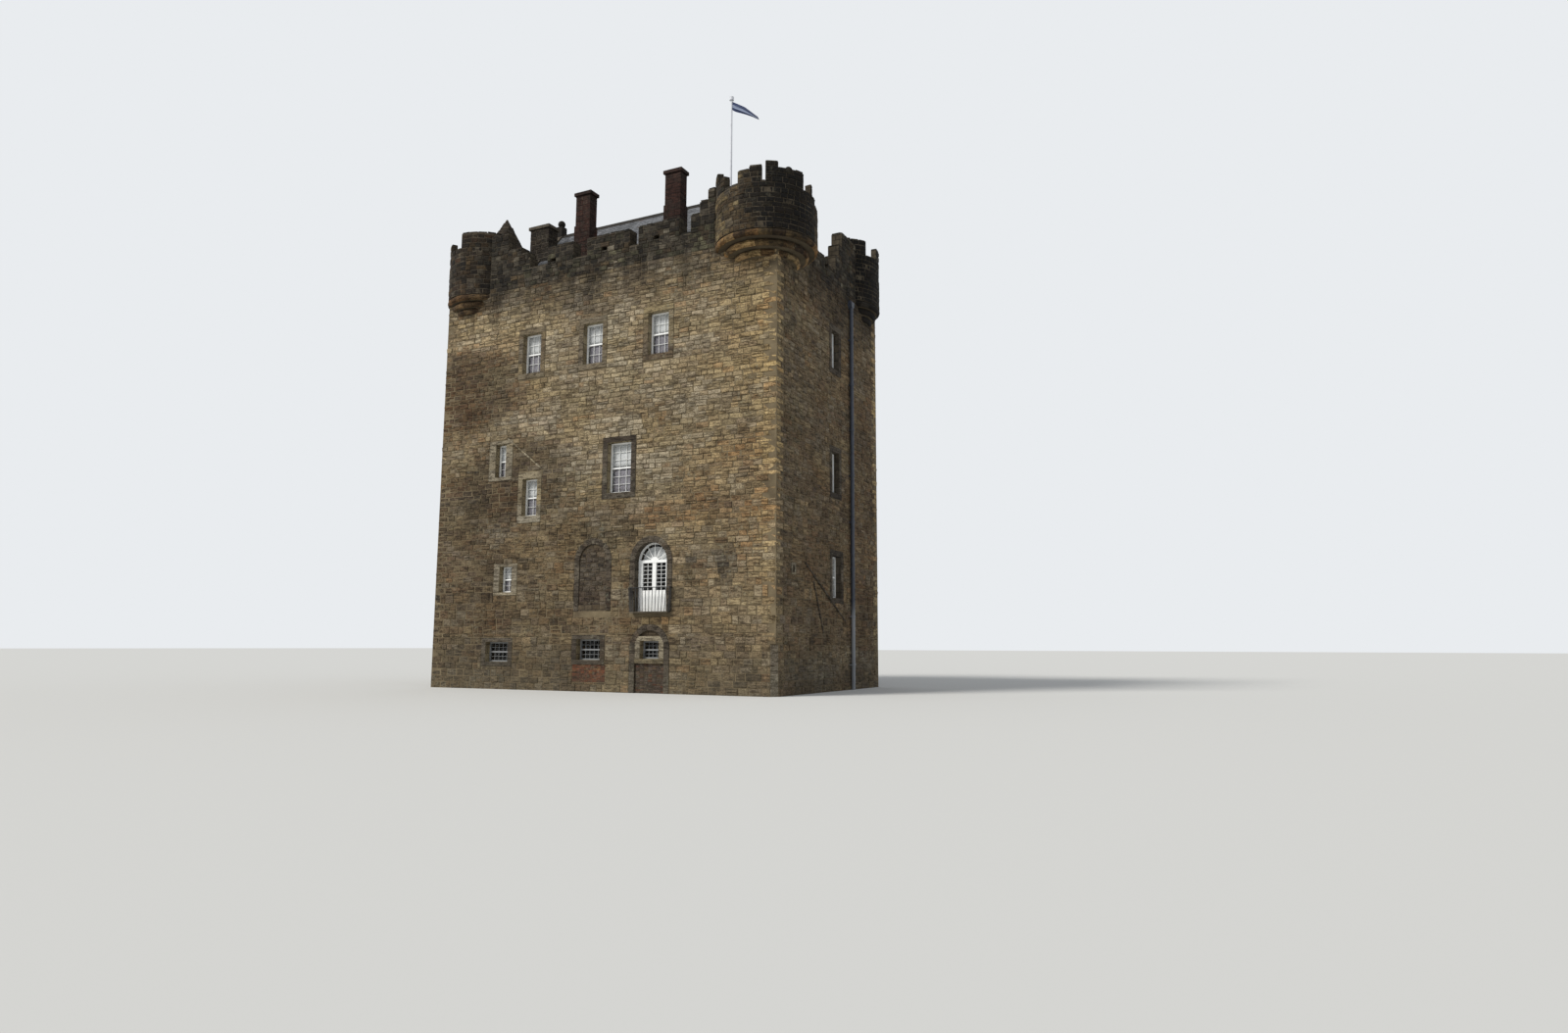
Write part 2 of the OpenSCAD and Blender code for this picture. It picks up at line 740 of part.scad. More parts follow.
module stair_turret() {
    color(dark_stone_c) translate([turret_at[0], turret_at[1], wall_head]) difference() {
        cylinder(r = turret_radius, h = turret_height);
        translate([0, 0, -eps]) cylinder(r = turret_radius - turret_wall, h = turret_height + 2 * eps);
    }
}
module stair_turret_roof() {
    color(slate_c) translate([turret_at[0], turret_at[1], wall_head + turret_height])
        cylinder(r1 = turret_radius + cone_over, r2 = 20, h = cone_height);
}

// Flagpole and flag

pole_at = [house_l / 2 - pole_inset, -house_d / 2 - pole_gap];
pole_top = wall_head + paving + pole_height;

module flagpole() {
    color(white_c) translate([pole_at[0], pole_at[1], wall_head + paving]) {
        translate([-130, -130, 0]) cube([260, 260, 120]);
        cylinder(r1 = pole_radius, r2 = pole_radius * (1 - pole_taper), h = pole_height);
        translate([0, 0, pole_height - 160]) cylinder(r = 100, h = 160);
    }
}
// A limp flag that droops from the pole's head
module flag() {
    hoist = 0.27 * flag_fly;
    beside = pole_radius * (1 - pole_taper * (pole_height - flag_drop - hoist) / pole_height) + sewn;
    color([0.16, 0.25, 0.48]) translate([pole_at[0] + beside, pole_at[1], pole_top - flag_drop])
        rotate([90, 0, 0]) translate([0, 0, -flag_fold / 2]) linear_extrude(flag_fold) polygon([
            [0, 0], [0.43 * flag_fly, -0.27 * flag_fly], [0.89 * flag_fly, -0.71 * flag_fly],
            [0.93 * flag_fly, -0.81 * flag_fly], [0.74 * flag_fly, -0.7 * flag_fly],
            [0.17 * flag_fly, -0.39 * flag_fly], [0, -hoist]]);
}

// Windows

module margin_ring(w) {
    translate([w[0], -margin_proud, w[1]]) difference() {
        translate([-w[2] / 2 - w[4], 0, -w[5]])
            cube([w[2] + 2 * w[4], margin_depth + margin_proud, w[3] + 2 * w[5]]);
        translate([-w[2] / 2, -eps, 0]) cube([w[2], margin_depth + margin_proud + 2 * eps, w[3]]);
    }
}

// A sliding sash window: outer frame, meeting rail and the two lights left open for the glass
module sash_frame(w) {
    light_w = w[2] - 2 * sash_face;
    light_h = (w[3] - 3 * sash_face) / 2;
    translate([w[0] - w[2] / 2, reveal, w[1]]) difference() {
        cube([w[2], sash_depth, w[3]]);
        for (k = [0, 1]) translate([sash_face, -eps, sash_face + k * (light_h + sash_face)])
            cube([light_w, sash_depth + 2 * eps, light_h]);
    }
}
module sash_glass(w) {
    light_w = w[2] - 2 * sash_face;
    light_h = (w[3] - 3 * sash_face) / 2;
    translate([w[0] - light_w / 2, reveal + sash_depth / 2, w[1] + sash_face])
        for (k = [0, 1]) translate([0, 0, k * (light_h + sash_face)]) cube([light_w, glass, light_h]);
}

module front_margins() {
    color(dressed_c) at_front() for (w = concat(front_windows, front_cellars)) margin_ring(w);
}
module right_margins() {
    color(dressed_c) at_right() for (w = concat(side_windows, [slit])) margin_ring(w);
}
module back_margins() {
    color(dressed_c) at_back() {
        for (w = concat(back_windows, back_cellars)) margin_ring(w);
        translate([entry_x, 0, 0]) arch_surround(entry_w, 0, entry_spring);
    }
}
module left_margins() {
    color(dressed_c) at_left() for (w = side_windows) margin_ring(w);
}
module window_sashes() {
    color(white_c) {
        at_front() for (w = concat(front_windows, front_cellars)) sash_frame(w);
        at_right() for (w = side_windows) sash_frame(w);
        at_back() for (w = concat(back_windows, back_cellars)) sash_frame(w);
        at_left() for (w = side_windows) sash_frame(w);
    }
}
module window_glass() {
    color(glass_c) {
        at_front() for (w = concat(front_windows, front_cellars)) sash_glass(w);
        at_front() translate([balcony_x, reveal + sash_depth / 2, 0]) into_wall(0, glass) door_lights();
        at_right() for (w = side_windows) sash_glass(w);
        at_right() translate([slit[0] - slit[2] / 2, reveal, slit[1]]) cube([slit[2], glass, slit[3]]);
        at_back() for (w = concat(back_windows, back_cellars)) sash_glass(w);
        at_left() for (w = side_windows) sash_glass(w);
    }
}

// Balcony door

// Jambs and arch of a round-headed surround
module arch_surround(w, foot, spring) {
    into_wall(-margin_proud, margin_depth) difference() {
        arch(w + 2 * arch_face, foot, spring);
        translate([0, -eps]) arch(w, foot, spring + eps);
    }
}
module balcony_surround() {
    color(dark_stone_c) at_front() translate([balcony_x, 0, 0])
        arch_surround(door_w, first_level, first_level + door_spring);
}

leaf_middle = 1.5 * sash_face + leaf_glass_w / 2;

// The glass of the leaves and of the fanlight, as the holes that their frames leave for it
module door_lights() {
    for (s = [-1, 1]) translate([s * leaf_middle - leaf_glass_w / 2, first_level + leaf_foot])
        square([leaf_glass_w, leaf_glass_h]);
    translate([0, first_level + door_spring]) intersection() {
        circle(d = door_w - 2 * sash_face);
        translate([-door_w, sash_face]) square([2 * door_w, door_w]);
    }
}

// Frame, two leaves with glazed tops and raised lower panels, and the fanlight with its petals over the transom
module balcony_door() {
    spring = first_level + door_spring;
    petal = 24;
    color(white_c) at_front() translate([balcony_x, 0, 0]) {
        into_wall(reveal, reveal + sash_depth) difference() {
            arch(door_w, first_level, spring);
            door_lights();
        }
        into_wall(reveal - glass, reveal + glass) {
            translate([-door_w / 2, spring - sash_face]) square([door_w, sash_face]);
            for (s = [-1, 1]) translate([s * leaf_middle - leaf_glass_w / 2, first_level + 2 * sash_face])
                square([leaf_glass_w, leaf_foot - 4 * sash_face]);
        }
        into_wall(reveal + 2 * glass, reveal + sash_depth / 2 - eps) intersection() {
            circle_at(spring, door_w - sash_face);
            union() {
                for (a = [30, 60, 90, 120, 150]) translate([0, spring]) rotate(a) translate([0, -petal / 2])
                    square([door_w, petal]);
                circle_at(spring, door_w / 4);
            }
        }
    }
}
// Upper half of a disc round the middle of the springing line
module circle_at(spring, d) {
    translate([0, spring]) intersection() {
        circle(d = d);
        translate([-door_w, 0]) square([2 * door_w, door_w]);
    }
}
module balcony_slab() {
    color(iron_c) at_front() translate([balcony_x + balcony_shift, -balcony_out, first_level - slab_depth])
        translate([-balcony_w / 2, 0, 0]) cube([balcony_w, balcony_out - margin_proud, slab_depth]);
}

// Bars that fan out from the slab to the wider rail, with two on each return to the wall
module balcony_railing() {
    half = balcony_w / 2;
    lean = atan2(rail_flare, rail_height);
    rail_w = balcony_w + 2 * rail_flare;
    rail = 1.5 * bar;
    inner = balcony_out - margin_proud;
    color(iron_c) at_front() translate([balcony_x + balcony_shift, -balcony_out, first_level]) {
        for (i = [0:bar_count - 1]) {
            share = 2 * i / (bar_count - 1) - 1;
            fan_bar(share * (half - bar / 2), share * lean, 0);
        }
        for (s = [-1, 1]) for (y = [inner / 3, 2 * inner / 3]) fan_bar(s * (half - bar / 2), s * lean, y);
        translate([0, 0, rail_height - rail]) {
            translate([-rail_w / 2, 0, 0]) cube([rail_w, rail, rail]);
            for (s = [-1, 1]) translate([(s * (rail_w - rail) - rail) / 2, 0, 0]) cube([rail, inner, rail]);
        }
    }
}
// One bar, which leans to the side by an angle and is cut level at the slab and at the rail
module fan_bar(x, lean, y) {
    intersection() {
        translate([x, y, 0]) rotate([0, lean, 0])
            translate([-bar / 2, 0, -bar]) cube([bar, bar, 2 * rail_height]);
        translate([-balcony_w, -bar, 0]) cube([2 * balcony_w, balcony_out + bar, rail_height - bar / 2]);
    }
}

// Blocked openings

module blocked_doorway() {
    color(dressed_c) at_front() translate([balcony_x, 0, 0]) {
        into_wall(-margin_proud, margin_depth) difference() {
            arch(blocked_w + 2 * arch_face, 0, blocked_spring);
            translate([0, -eps]) arch(blocked_w, 0, blocked_spring + eps);
            translate([-balcony_x, 0]) margin_outline(front_cellars[2]);
        }
        into_wall(blocking_back, margin_depth) difference() {
            arch(blocked_w, 0, blocked_spring);
            translate([-balcony_x, 0]) margin_outline(front_cellars[2]);
        }
    }
}
module blocked_window() {
    foot = blocked_foot + arch_face;
    color(dressed_c) at_front() translate([blocked_x, 0, 0]) {
        into_wall(0, margin_depth) difference() {
            arch(blocked_w + 2 * arch_face, blocked_foot, blocked_arch);
            arch(blocked_w, foot, blocked_arch);
        }
        into_wall(blocking_back / 2, margin_depth) arch(blocked_w, foot, blocked_arch);
    }
}

// Rain water

// The pipe with its sockets and brackets, the tapered hopper head and the spout that feeds it
module downpipe() {
    top = wall_head - hopper_drop;
    hopper_w = 4 * pipe_radius;
    hopper_d = 2 * pipe_radius + pipe_gap;
    color([0.22, 0.26, 0.33]) at_right() translate([half_d - pipe_inset, -pipe_gap - pipe_radius, 0]) {
        cylinder(r = pipe_radius, h = top - hopper_h / 2);
        translate([0, hopper_d - pipe_radius, top - hopper_h]) rotate([90, 0, 0]) linear_extrude(hopper_d)
            polygon([
                [-pipe_radius, 0], [pipe_radius, 0], [hopper_w / 2, hopper_h / 2],
                [hopper_w / 2, hopper_h], [-hopper_w / 2, hopper_h], [-hopper_w / 2, hopper_h / 2]]);
        translate([-pipe_radius, 0, top - eps]) cube([2 * pipe_radius, pipe_radius + pipe_gap, pipe_radius]);
        for (z = [bracket_pitch / 2:bracket_pitch:top - bracket_pitch / 2]) {
            translate([0, 0, z]) cylinder(r = 1.2 * pipe_radius, h = pipe_radius);
            translate([-1.5 * pipe_radius, 0, z])
                cube([3 * pipe_radius, pipe_radius + pipe_gap, pipe_radius / 2]);
        }
    }
}

module entrance_door() {
    color(timber_c) at_back() translate([entry_x, 0, 0])
        into_wall(reveal, reveal + sash_depth) arch(entry_w, 0, entry_spring);
}

ground_floor();
first_floor();
second_floor();
third_floor();
attic_floor();
front_wall();
right_wall();
back_wall();
left_wall();
wall_walk();
front_parapet();
right_parapet();
back_parapet();
left_parapet();
front_right_round();
front_left_round();
back_right_round();
back_left_round();
corbelling();
left_gable();
right_gable();
cap_house_walls();
slate_roof();
ridge_capping();
ball_finials();
stone_stack();
chimneys();
stair_turret();
stair_turret_roof();
flagpole();
flag();
front_margins();
right_margins();
back_margins();
left_margins();
window_sashes();
window_glass();
balcony_surround();
balcony_door();
balcony_slab();
balcony_railing();
blocked_doorway();
blocked_window();
downpipe();
entrance_door();
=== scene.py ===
"""Oblong tower keep of coursed rubble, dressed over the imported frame.

The frame holds the walls, rounds, roof and joinery. This script lays the stones, bricks, slates, bars, blinds
and cloth on them, gives every surface its finish, and sets up the stage.
"""
import logging
import math
import random
from collections.abc import Callable
from dataclasses import dataclass, field
from enum import Enum

import bpy
from mathutils import Matrix, Vector
from mathutils.noise import noise as perlin


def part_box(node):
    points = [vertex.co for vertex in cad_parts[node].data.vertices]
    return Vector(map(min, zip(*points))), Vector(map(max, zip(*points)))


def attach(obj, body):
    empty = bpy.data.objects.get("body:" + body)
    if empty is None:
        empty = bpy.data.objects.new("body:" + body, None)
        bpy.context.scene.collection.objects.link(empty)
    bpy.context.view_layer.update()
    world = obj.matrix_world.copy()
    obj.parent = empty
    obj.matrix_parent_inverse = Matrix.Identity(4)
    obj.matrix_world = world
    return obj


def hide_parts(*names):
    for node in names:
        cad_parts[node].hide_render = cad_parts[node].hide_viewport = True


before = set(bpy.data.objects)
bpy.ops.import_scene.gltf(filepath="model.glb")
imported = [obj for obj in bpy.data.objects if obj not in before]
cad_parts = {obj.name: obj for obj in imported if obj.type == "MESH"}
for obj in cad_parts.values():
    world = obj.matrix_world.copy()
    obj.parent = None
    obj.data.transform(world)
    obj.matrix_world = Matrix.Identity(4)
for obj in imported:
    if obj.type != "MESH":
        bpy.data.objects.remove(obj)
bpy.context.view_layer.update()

LOG = logging.getLogger("tower_keep")
SEED = 1450

# Half the tower's length and depth, and the levels of the wall head, the walk and the first floor
HALF_L = 9.15
HALF_D = 5.55
WALL_HEAD = 18.9
WALK = WALL_HEAD + 0.1
FIRST_LEVEL = 3.4
REVEAL = 0.25
SASH_FACE = 0.065

Span = tuple[float, float]
Size = tuple[float, float, float]
Colour = tuple[float, float, float, float]
Material = bpy.types.Material
Object = bpy.types.Object

UP = Vector((0, 0, 1))
SMOOTH = {"interpolation_type": "SMOOTHSTEP"}
BLEND = {"data_type": "RGBA", "blend_type": "MIX"}
TIMES = {"data_type": "RGBA", "blend_type": "MULTIPLY"}
SUM = {"operation": "ADD"}
DIFFERENCE = {"operation": "SUBTRACT"}
PRODUCT = {"operation": "MULTIPLY"}
PRODUCT_PLUS = {"operation": "MULTIPLY_ADD"}
LARGER = {"operation": "MAXIMUM"}


# Small tools


def linear(hex_colour: str) -> Colour:
    """Turns an sRGB hex colour into the linear colour that a shader takes.

    Args:
        hex_colour: Six hex digits after a hash sign.

    Returns:
        Linear red, green, blue and an alpha of 1.
    """
    channels = [int(hex_colour[i : i + 2], 16) / 255 for i in (1, 3, 5)]
    straight = [c / 12.92 if c <= 0.04045 else ((c + 0.055) / 1.055) ** 2.4 for c in channels]
    return (straight[0], straight[1], straight[2], 1.0)


def add_node(material: Material | bpy.types.World, kind: str, settings: dict | None = None,
             **inputs: object) -> bpy.types.Node:
    """Adds one shader node with its settings, its values and its links.

    Args:
        material: The material, or the world, that gets the node.
        kind: The node's type name, without the words "ShaderNode" before it.
        settings: Properties of the node, by name; "shades" are the places and hex colours of a colour ramp.
        **inputs: Input sockets by name, with underscores for spaces; "i3" is the fourth. A node or a socket
            is linked to, and anything else is set as the value.

    Returns:
        The new node.
    """
    tree = material.node_tree
    node = tree.nodes.new("ShaderNode" + kind)
    for name, value in (settings or {}).items():
        if name != "shades":
            setattr(node, name, value)
            continue
        elements = node.color_ramp.elements
        while len(elements) < len(value):
            elements.new(0.5)
        for element, (place, shade) in zip(elements, value):
            element.position = place
            element.color = linear(shade)
    for name, value in inputs.items():
        key = int(name[1:]) if name[0] == "i" and name[1:].isdigit() else name.replace("_", " ")
        if isinstance(value, bpy.types.Node):
            value = next(socket for socket in value.outputs if socket.enabled)
        if isinstance(value, bpy.types.NodeSocket):
            tree.links.new(value, node.inputs[key])
        else:
            node.inputs[key].default_value = value
    return node


def new_material(name: str) -> Material:
    """Makes a node material with no nodes in it.

    Args:
        name: The material's name.

    Returns:
        The material.
    """
    material = bpy.data.materials.new(name)
    material.use_nodes = True
    material.node_tree.nodes.clear()
    return material


def per_metre(size_mm: float) -> float:
    """How many patches of this size fit in a metre, which is a pattern's scale."""
    return 1000.0 / size_mm


def finish_with(material: Material, relief: object, height_mm: float, **shader: object) -> Material:
    """Ends a material with its main shader.

    Args:
        material: The material.
        relief: Height for the bump, from 0 to 1.
        height_mm: The real height that a relief of 1 stands for.
        **shader: Sockets of the shader.

    Returns:
        The same material.
    """
    bump = add_node(material, "Bump", None, Height=relief, Distance=height_mm / 1000.0, Strength=1.0)
    main = add_node(material, "BsdfPrincipled", None, Normal=bump, **shader)
    add_node(material, "OutputMaterial", None, Surface=main)
    return material


def dress(obj: Object, material: Material) -> Object:
    """Puts one material on a whole object.

    Args:
        obj: The object.
        material: Its finish.

    Returns:
        The same object.
    """
    obj.data.materials.clear()
    obj.data.materials.append(material)
    return obj


def pick_only(*objects: Object) -> None:
    """Selects these objects alone and makes the first one active."""
    for other in list(bpy.context.selected_objects):
        other.select_set(False)
    for obj in objects:
        obj.select_set(True)
    if objects:
        bpy.context.view_layer.objects.active = objects[0]


def apply_place() -> None:
    """Puts the picked object's place, turn and size into its mesh."""
    bpy.ops.object.transform_apply(location=True, rotation=True, scale=True)


def join(name: str, objects: list[Object]) -> Object:
    """Joins copies into one piece.

    Args:
        name: The piece's name.
        objects: What is joined; none of them is kept by itself.

    Returns:
        The joined object.
    """
    pick_only(*objects)
    if len(objects) > 1:
        bpy.ops.object.join()
    joined = bpy.context.view_layer.objects.active
    joined.name = joined.data.name = name
    return joined


def settle(obj: Object) -> Object:
    """Puts a piece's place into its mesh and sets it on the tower.

    Args:
        obj: The finished piece.

    Returns:
        The same piece.
    """
    pick_only(obj)
    apply_place()
    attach(obj, "root")
    LOG.info("%s: %d faces", obj.name, len(obj.data.polygons))
    return obj


def turned(along: Vector, inward: Vector, up: Vector) -> Matrix:
    """The matrix whose columns are these three directions."""
    return Matrix((along, inward, up)).transposed().to_4x4()


def tangent(outward: Vector) -> Vector:
    """The level direction a quarter turn from another one."""
    return Vector((-outward.y, outward.x, 0))


def bearing(angle: float) -> Vector:
    """The level direction at an angle in radians."""
    return Vector((math.cos(angle), math.sin(angle), 0))


def copy_mesh(model: Object, axes: Matrix, tint: Colour | None = None) -> Object:
    """Makes one placed copy of a model piece, with a mesh of its own.

    Args:
        model: The model piece.
        axes: Where the copy goes.
        tint: The copy's linear colour, where the model has a "tint" attribute.

    Returns:
        The copy.
    """
    mesh = model.data.copy()
    mesh.transform(axes)
    if axes.determinant() < 0:
        mesh.flip_normals()
    if tint is not None:
        mesh.attributes["tint"].data.foreach_set("color", tint * len(mesh.vertices))
    copy = bpy.data.objects.new(model.name + "_copy", mesh)
    bpy.context.scene.collection.objects.link(copy)
    return copy


def add_block(size: Size = (1.0, 1.0, 1.0), x: float = 0.0) -> Object:
    """Adds a plain block.

    Args:
        size: Its length, depth and height.
        x: How far it is set off along X.

    Returns:
        The block.
    """
    pick_only()
    bpy.ops.mesh.primitive_cube_add(size=1.0, location=(x, 0, 0))
    bpy.context.object.scale = size
    apply_place()
    return bpy.context.object


def edit_picked(piece: Object, kind: str, test: Callable[[object], bool]) -> None:
    """Goes into edit mode with only some parts of the active piece picked.

    Args:
        piece: The active piece.
        kind: "polygons" or "vertices".
        test: Says which of them are picked.
    """
    bpy.ops.object.mode_set(mode="EDIT")
    bpy.ops.mesh.select_all(action="DESELECT")
    bpy.ops.object.mode_set(mode="OBJECT")
    for item in getattr(piece.data, kind):
        item.select = test(item)
    bpy.ops.object.mode_set(mode="EDIT")


def faces_out(polygon: bpy.types.MeshPolygon) -> bool:
    """Whether a face of a model looks towards -Y, out of the wall."""
    return polygon.normal.y < -0.9


def thicken(cloth: Object, thickness: float) -> float:
    """Gives a cloth its thickness.

    Args:
        cloth: The active cloth, one face thick.
        thickness: Its thickness in metres.

    Returns:
        The area it had as a single face.
    """
    area = sum(polygon.area for polygon in cloth.data.polygons)
    solidify = cloth.modifiers.new("thickness", "SOLIDIFY")
    solidify.thickness = thickness
    bpy.ops.object.modifier_apply(modifier=solidify.name)
    return area


# Stone colours


class Hue(Enum):
    """The colours of the quarried stone, and of what rain, soot and lichen made of it."""

    PALE = "#B3AA96"
    BUFF = "#A5946F"
    GOLD = "#B0996C"
    TAN = "#927A56"
    ORANGE = "#9E7040"
    RUST = "#7E5B3E"
    PLUM = "#6C5C54"
    GREY = "#857C6D"
    MOSS = "#77755B"
    UMBER = "#68543C"
    DARK = "#4A4138"
    SOOT = "#322D27"
    BRICK = "#83452A"
    RED = "#65392C"
    SLATE = "#66686C"
    SLATE_PALE = "#808286"
    SLATE_DARK = "#484A4E"


def mix(**weights: float) -> dict[Hue, float]:
    """How much of each hue there is, by the hues' names in small letters."""
    return {Hue[name.upper()]: weight for name, weight in weights.items()}


@dataclass(frozen=True)
class Zone:
    """A soft-edged patch of wall in which some hues are commoner and the stones are lighter or darker."""

    x: float
    z: float
    reach_x: float
    reach_z: float
    hues: dict[Hue, float]
    # light makes the zone's stones lighter or darker: painted light and painted shade on some zones, the
    # stones' own lightness on others
    light: float = 1.0

    def share(self, x: float, z: float) -> float:
        """How strongly the zone holds at a point, from 0 to 1."""
        return max(0.0, 1.0 - ((x - self.x) / self.reach_x) ** 2 - ((z - self.z) / self.reach_z) ** 2)


@dataclass(frozen=True)
class Weather:
    """How the stones of one side are coloured: a base mix, and zones on the side's own axes.

    "spread" is how much the stones differ in light, and "even" is how close each keeps to the mean hue.
    """

    base: dict[Hue, float]
    zones: tuple[Zone, ...] = ()
    spread: float = 0.14
    even: float = 0.72
    # light scales every stone: painted shade on the right side and on the rear round, the stones' own
    # lightness elsewhere
    light: float = 1.08

    def tint(self, x: float, z: float, rng: random.Random) -> Colour:
        """Picks the colour of one stone.

        Args:
            x: The stone's place along the side.
            z: Its height.
            rng: The mason's random numbers.

        Returns:
            A linear colour.
        """
        weights = dict(self.base)
        # shade gathers the light of the side and of its zones, which is in part painted light and painted
        # shade
        shade = self.light
        for number, zone in enumerate(self.zones):
            held = zone.share(x, z)
            share = held * (0.75 + 0.9 * perlin(Vector((x * 0.55, z * 0.8, 7.3 * number))))
            shade *= 1.0 + (zone.light - 1.0) * min(1.0, 1.6 * held)
            for hue, weight in zone.hues.items():
                weights[hue] = max(0.0, weights.get(hue, 0.0) + weight * share)
        # Each hue comes and goes in drifts of its own, two metres long
        for number, hue in enumerate(weights):
            weights[hue] *= max(0.1, 1.0 + 1.8 * perlin(Vector((x * 0.45, z * 0.85, 11.0 * number))))
        hues = list(weights)
        colours = [linear(hue.value) for hue in hues]
        total = sum(weights.values())
        chosen = rng.choices(colours, [weights[hue] for hue in hues])[0]
        mean = [sum(weights[hue] * colour[k] for hue, colour in zip(hues, colours)) / total for k in range(3)]
        drift = 0.2 * perlin(Vector((x * 0.35, z * 0.45, 3.1)))
        light = shade * max(0.4, rng.gauss(1.0, self.spread) + drift)
        red, green, blue = (light * (chosen[k] * (1 - self.even) + mean[k] * self.even) for k in range(3))
        return (red, green, blue, 1.0)


FRONT_WEATHER_AND_SHADE = Weather(
    mix(buff=3.0, tan=2.6, pale=1.2, grey=1.0, orange=0.5, umber=0.6, plum=0.4), (
        Zone(1.0, 12.8, 7.5, 5.5, mix(pale=6.0, buff=2.5, umber=-0.5), 1.04),
        Zone(7.8, 14.0, 3.2, 6.0, mix(gold=4.0, buff=3.0, orange=0.6), 1.04),
        Zone(6.5, 8.2, 4.5, 2.6, mix(orange=3.0, tan=3.0, rust=0.8), 0.97),
        Zone(8.9, 11.0, 0.9, 9.0, mix(gold=9.0, orange=1.5), 1.2),
        # The zones centred at x -8.0, -8.6, -4.5, -1.0, 6.3 and -4.0 darken the left and the foot of the
        # front: painted shade, over rust, plum, umber and grey stone colours
        Zone(-8.0, 14.0, 4.6, 2.5, mix(rust=7.0, orange=3.6, plum=3.0, pale=-1.0), 0.52),
        Zone(-5.4, 16.9, 4.4, 1.4, mix(pale=3.0, buff=3.0, gold=1.5), 1.36),
        Zone(-8.6, 5.0, 4.5, 6.0, mix(umber=3.0, rust=3.0, plum=1.0), 0.56),
        Zone(-4.5, 9.5, 4.0, 2.6, mix(rust=3.8, plum=2.0, umber=1.0), 0.48),
        Zone(-1.0, 18.4, 8.4, 1.7, mix(pale=2.0, soot=4.2, grey=3.0, orange=1.2), 0.8),
        Zone(-1.0, 4.2, 6.5, 4.6, mix(umber=1.4, tan=2.0, rust=1.4), 0.68),
        Zone(6.3, 1.3, 3.4, 2.2, mix(grey=2.4, tan=2.0, umber=2.0), 0.8),
        Zone(-4.0, 0.6, 6.0, 1.8, mix(umber=2.6, grey=2.4), 0.8),
        Zone(6.8, 5.4, 0.6, 1.3, mix(grey=7.0, dark=4.0), 0.62),
        Zone(5.2, 5.2, 0.5, 0.8, mix(grey=6.0, dark=3.0), 0.66),
        Zone(5.8, 4.2, 1.3, 0.6, mix(grey=5.0, pale=3.0), 0.9),
        Zone(0.15, 7.0, 1.3, 0.5, mix(grey=4.0, dark=2.0), 0.8),
        Zone(0.2, 2.9, 1.2, 0.7, mix(plum=5.0, rust=1.0), 0.9)))
# The right side, turned from the lamp, has a browner, darker mix and a lower light than the front: painted
# shade on the same stone
RIGHT_WEATHER_AND_SHADE = Weather(
    mix(tan=2.4, umber=2.6, buff=1.3, rust=1.0, plum=0.8, grey=1.6, pale=0.5), (
        # Grey-green band by the front corner: painted shadow, with moss
        Zone(-4.6, 12.0, 1.8, 9.0, mix(grey=2.0, dark=1.5, moss=1.2), 0.95),
        Zone(-2.0, 15.0, 3.0, 4.0, mix(buff=2.0, pale=1.4, orange=0.6)),
        Zone(4.2, 8.0, 2.0, 8.0, mix(rust=2.0, orange=1.0, umber=2.0), 0.9),
        Zone(0.0, 5.5, 5.5, 3.0, mix(rust=1.6, tan=2.0, umber=1.0)),
        Zone(0.0, 1.2, 6.0, 1.0, mix(grey=4.0, pale=3.4, moss=1.5)),
        Zone(1.5, 19.0, 5.0, 3.0, mix(soot=7.0, dark=7.0), 0.7)), light=0.96)
BACK_WEATHER = Weather(
    mix(buff=2.6, tan=2.6, pale=1.2, grey=1.8, orange=0.5, umber=1.2, plum=0.5, moss=0.8), (
        Zone(-2.0, 12.0, 7.0, 5.0, mix(pale=4.0, grey=2.0)),
        Zone(5.0, 8.0, 5.0, 4.0, mix(rust=2.0, umber=2.0), 0.8),
        Zone(0.0, 18.6, 9.0, 1.8, mix(soot=3.6, grey=2.6), 0.8),
        Zone(0.0, 0.8, 9.0, 1.8, mix(grey=3.0, moss=2.4), 0.85)), light=0.9)
ROUND_WEATHER = Weather(
    mix(dark=2.2, umber=3.2, soot=0.8, tan=1.2, grey=1.2, rust=0.6),
    (Zone(0.0, 21.8, 9.0, 1.3, mix(soot=2.5, dark=3.0, moss=1.5), 0.9),), spread=0.3, even=0.35)
# The rear round's light of 0.18 is painted shade, over its dark, sooty stone
REAR_ROUND_WEATHER_AND_SHADE = Weather(mix(dark=3.0, umber=1.6, soot=2.0, grey=0.8), spread=0.25, even=0.4, light=0.18)
GREAT_ROUND_WEATHER_LIGHT_AND_SHADE = Weather(
    mix(umber=2.4, tan=2.0, dark=2.0, buff=1.0, grey=1.0), (
        # The zones round 212 and 215 degrees, on the lamp's side, are lighter: painted light; the zone round
        # 325 degrees, on the far side, is darker with soot and dark hues: painted shade over sooty stone
        Zone(212.0, 19.7, 52.0, 1.4, mix(gold=9.0, buff=9.0, tan=3.0, dark=-1.5), 1.5),
        Zone(215.0, 21.4, 60.0, 1.2, mix(tan=2.0, moss=3.0, grey=3.0, soot=1.0), 1.3),
        Zone(325.0, 20.5, 62.0, 4.0, mix(soot=4.0, dark=6.0, rust=0.6), 0.2),
        Zone(240.0, 21.8, 90.0, 1.0, mix(soot=2.0, dark=3.0, moss=3.0), 0.95)), spread=0.28, even=0.4)
PARAPET_WEATHER = Weather(mix(dark=2.0, grey=3.0, soot=1.5, moss=2.0, umber=1.4, pale=0.9, tan=0.6),
                          spread=0.3, even=0.35, light=0.92)
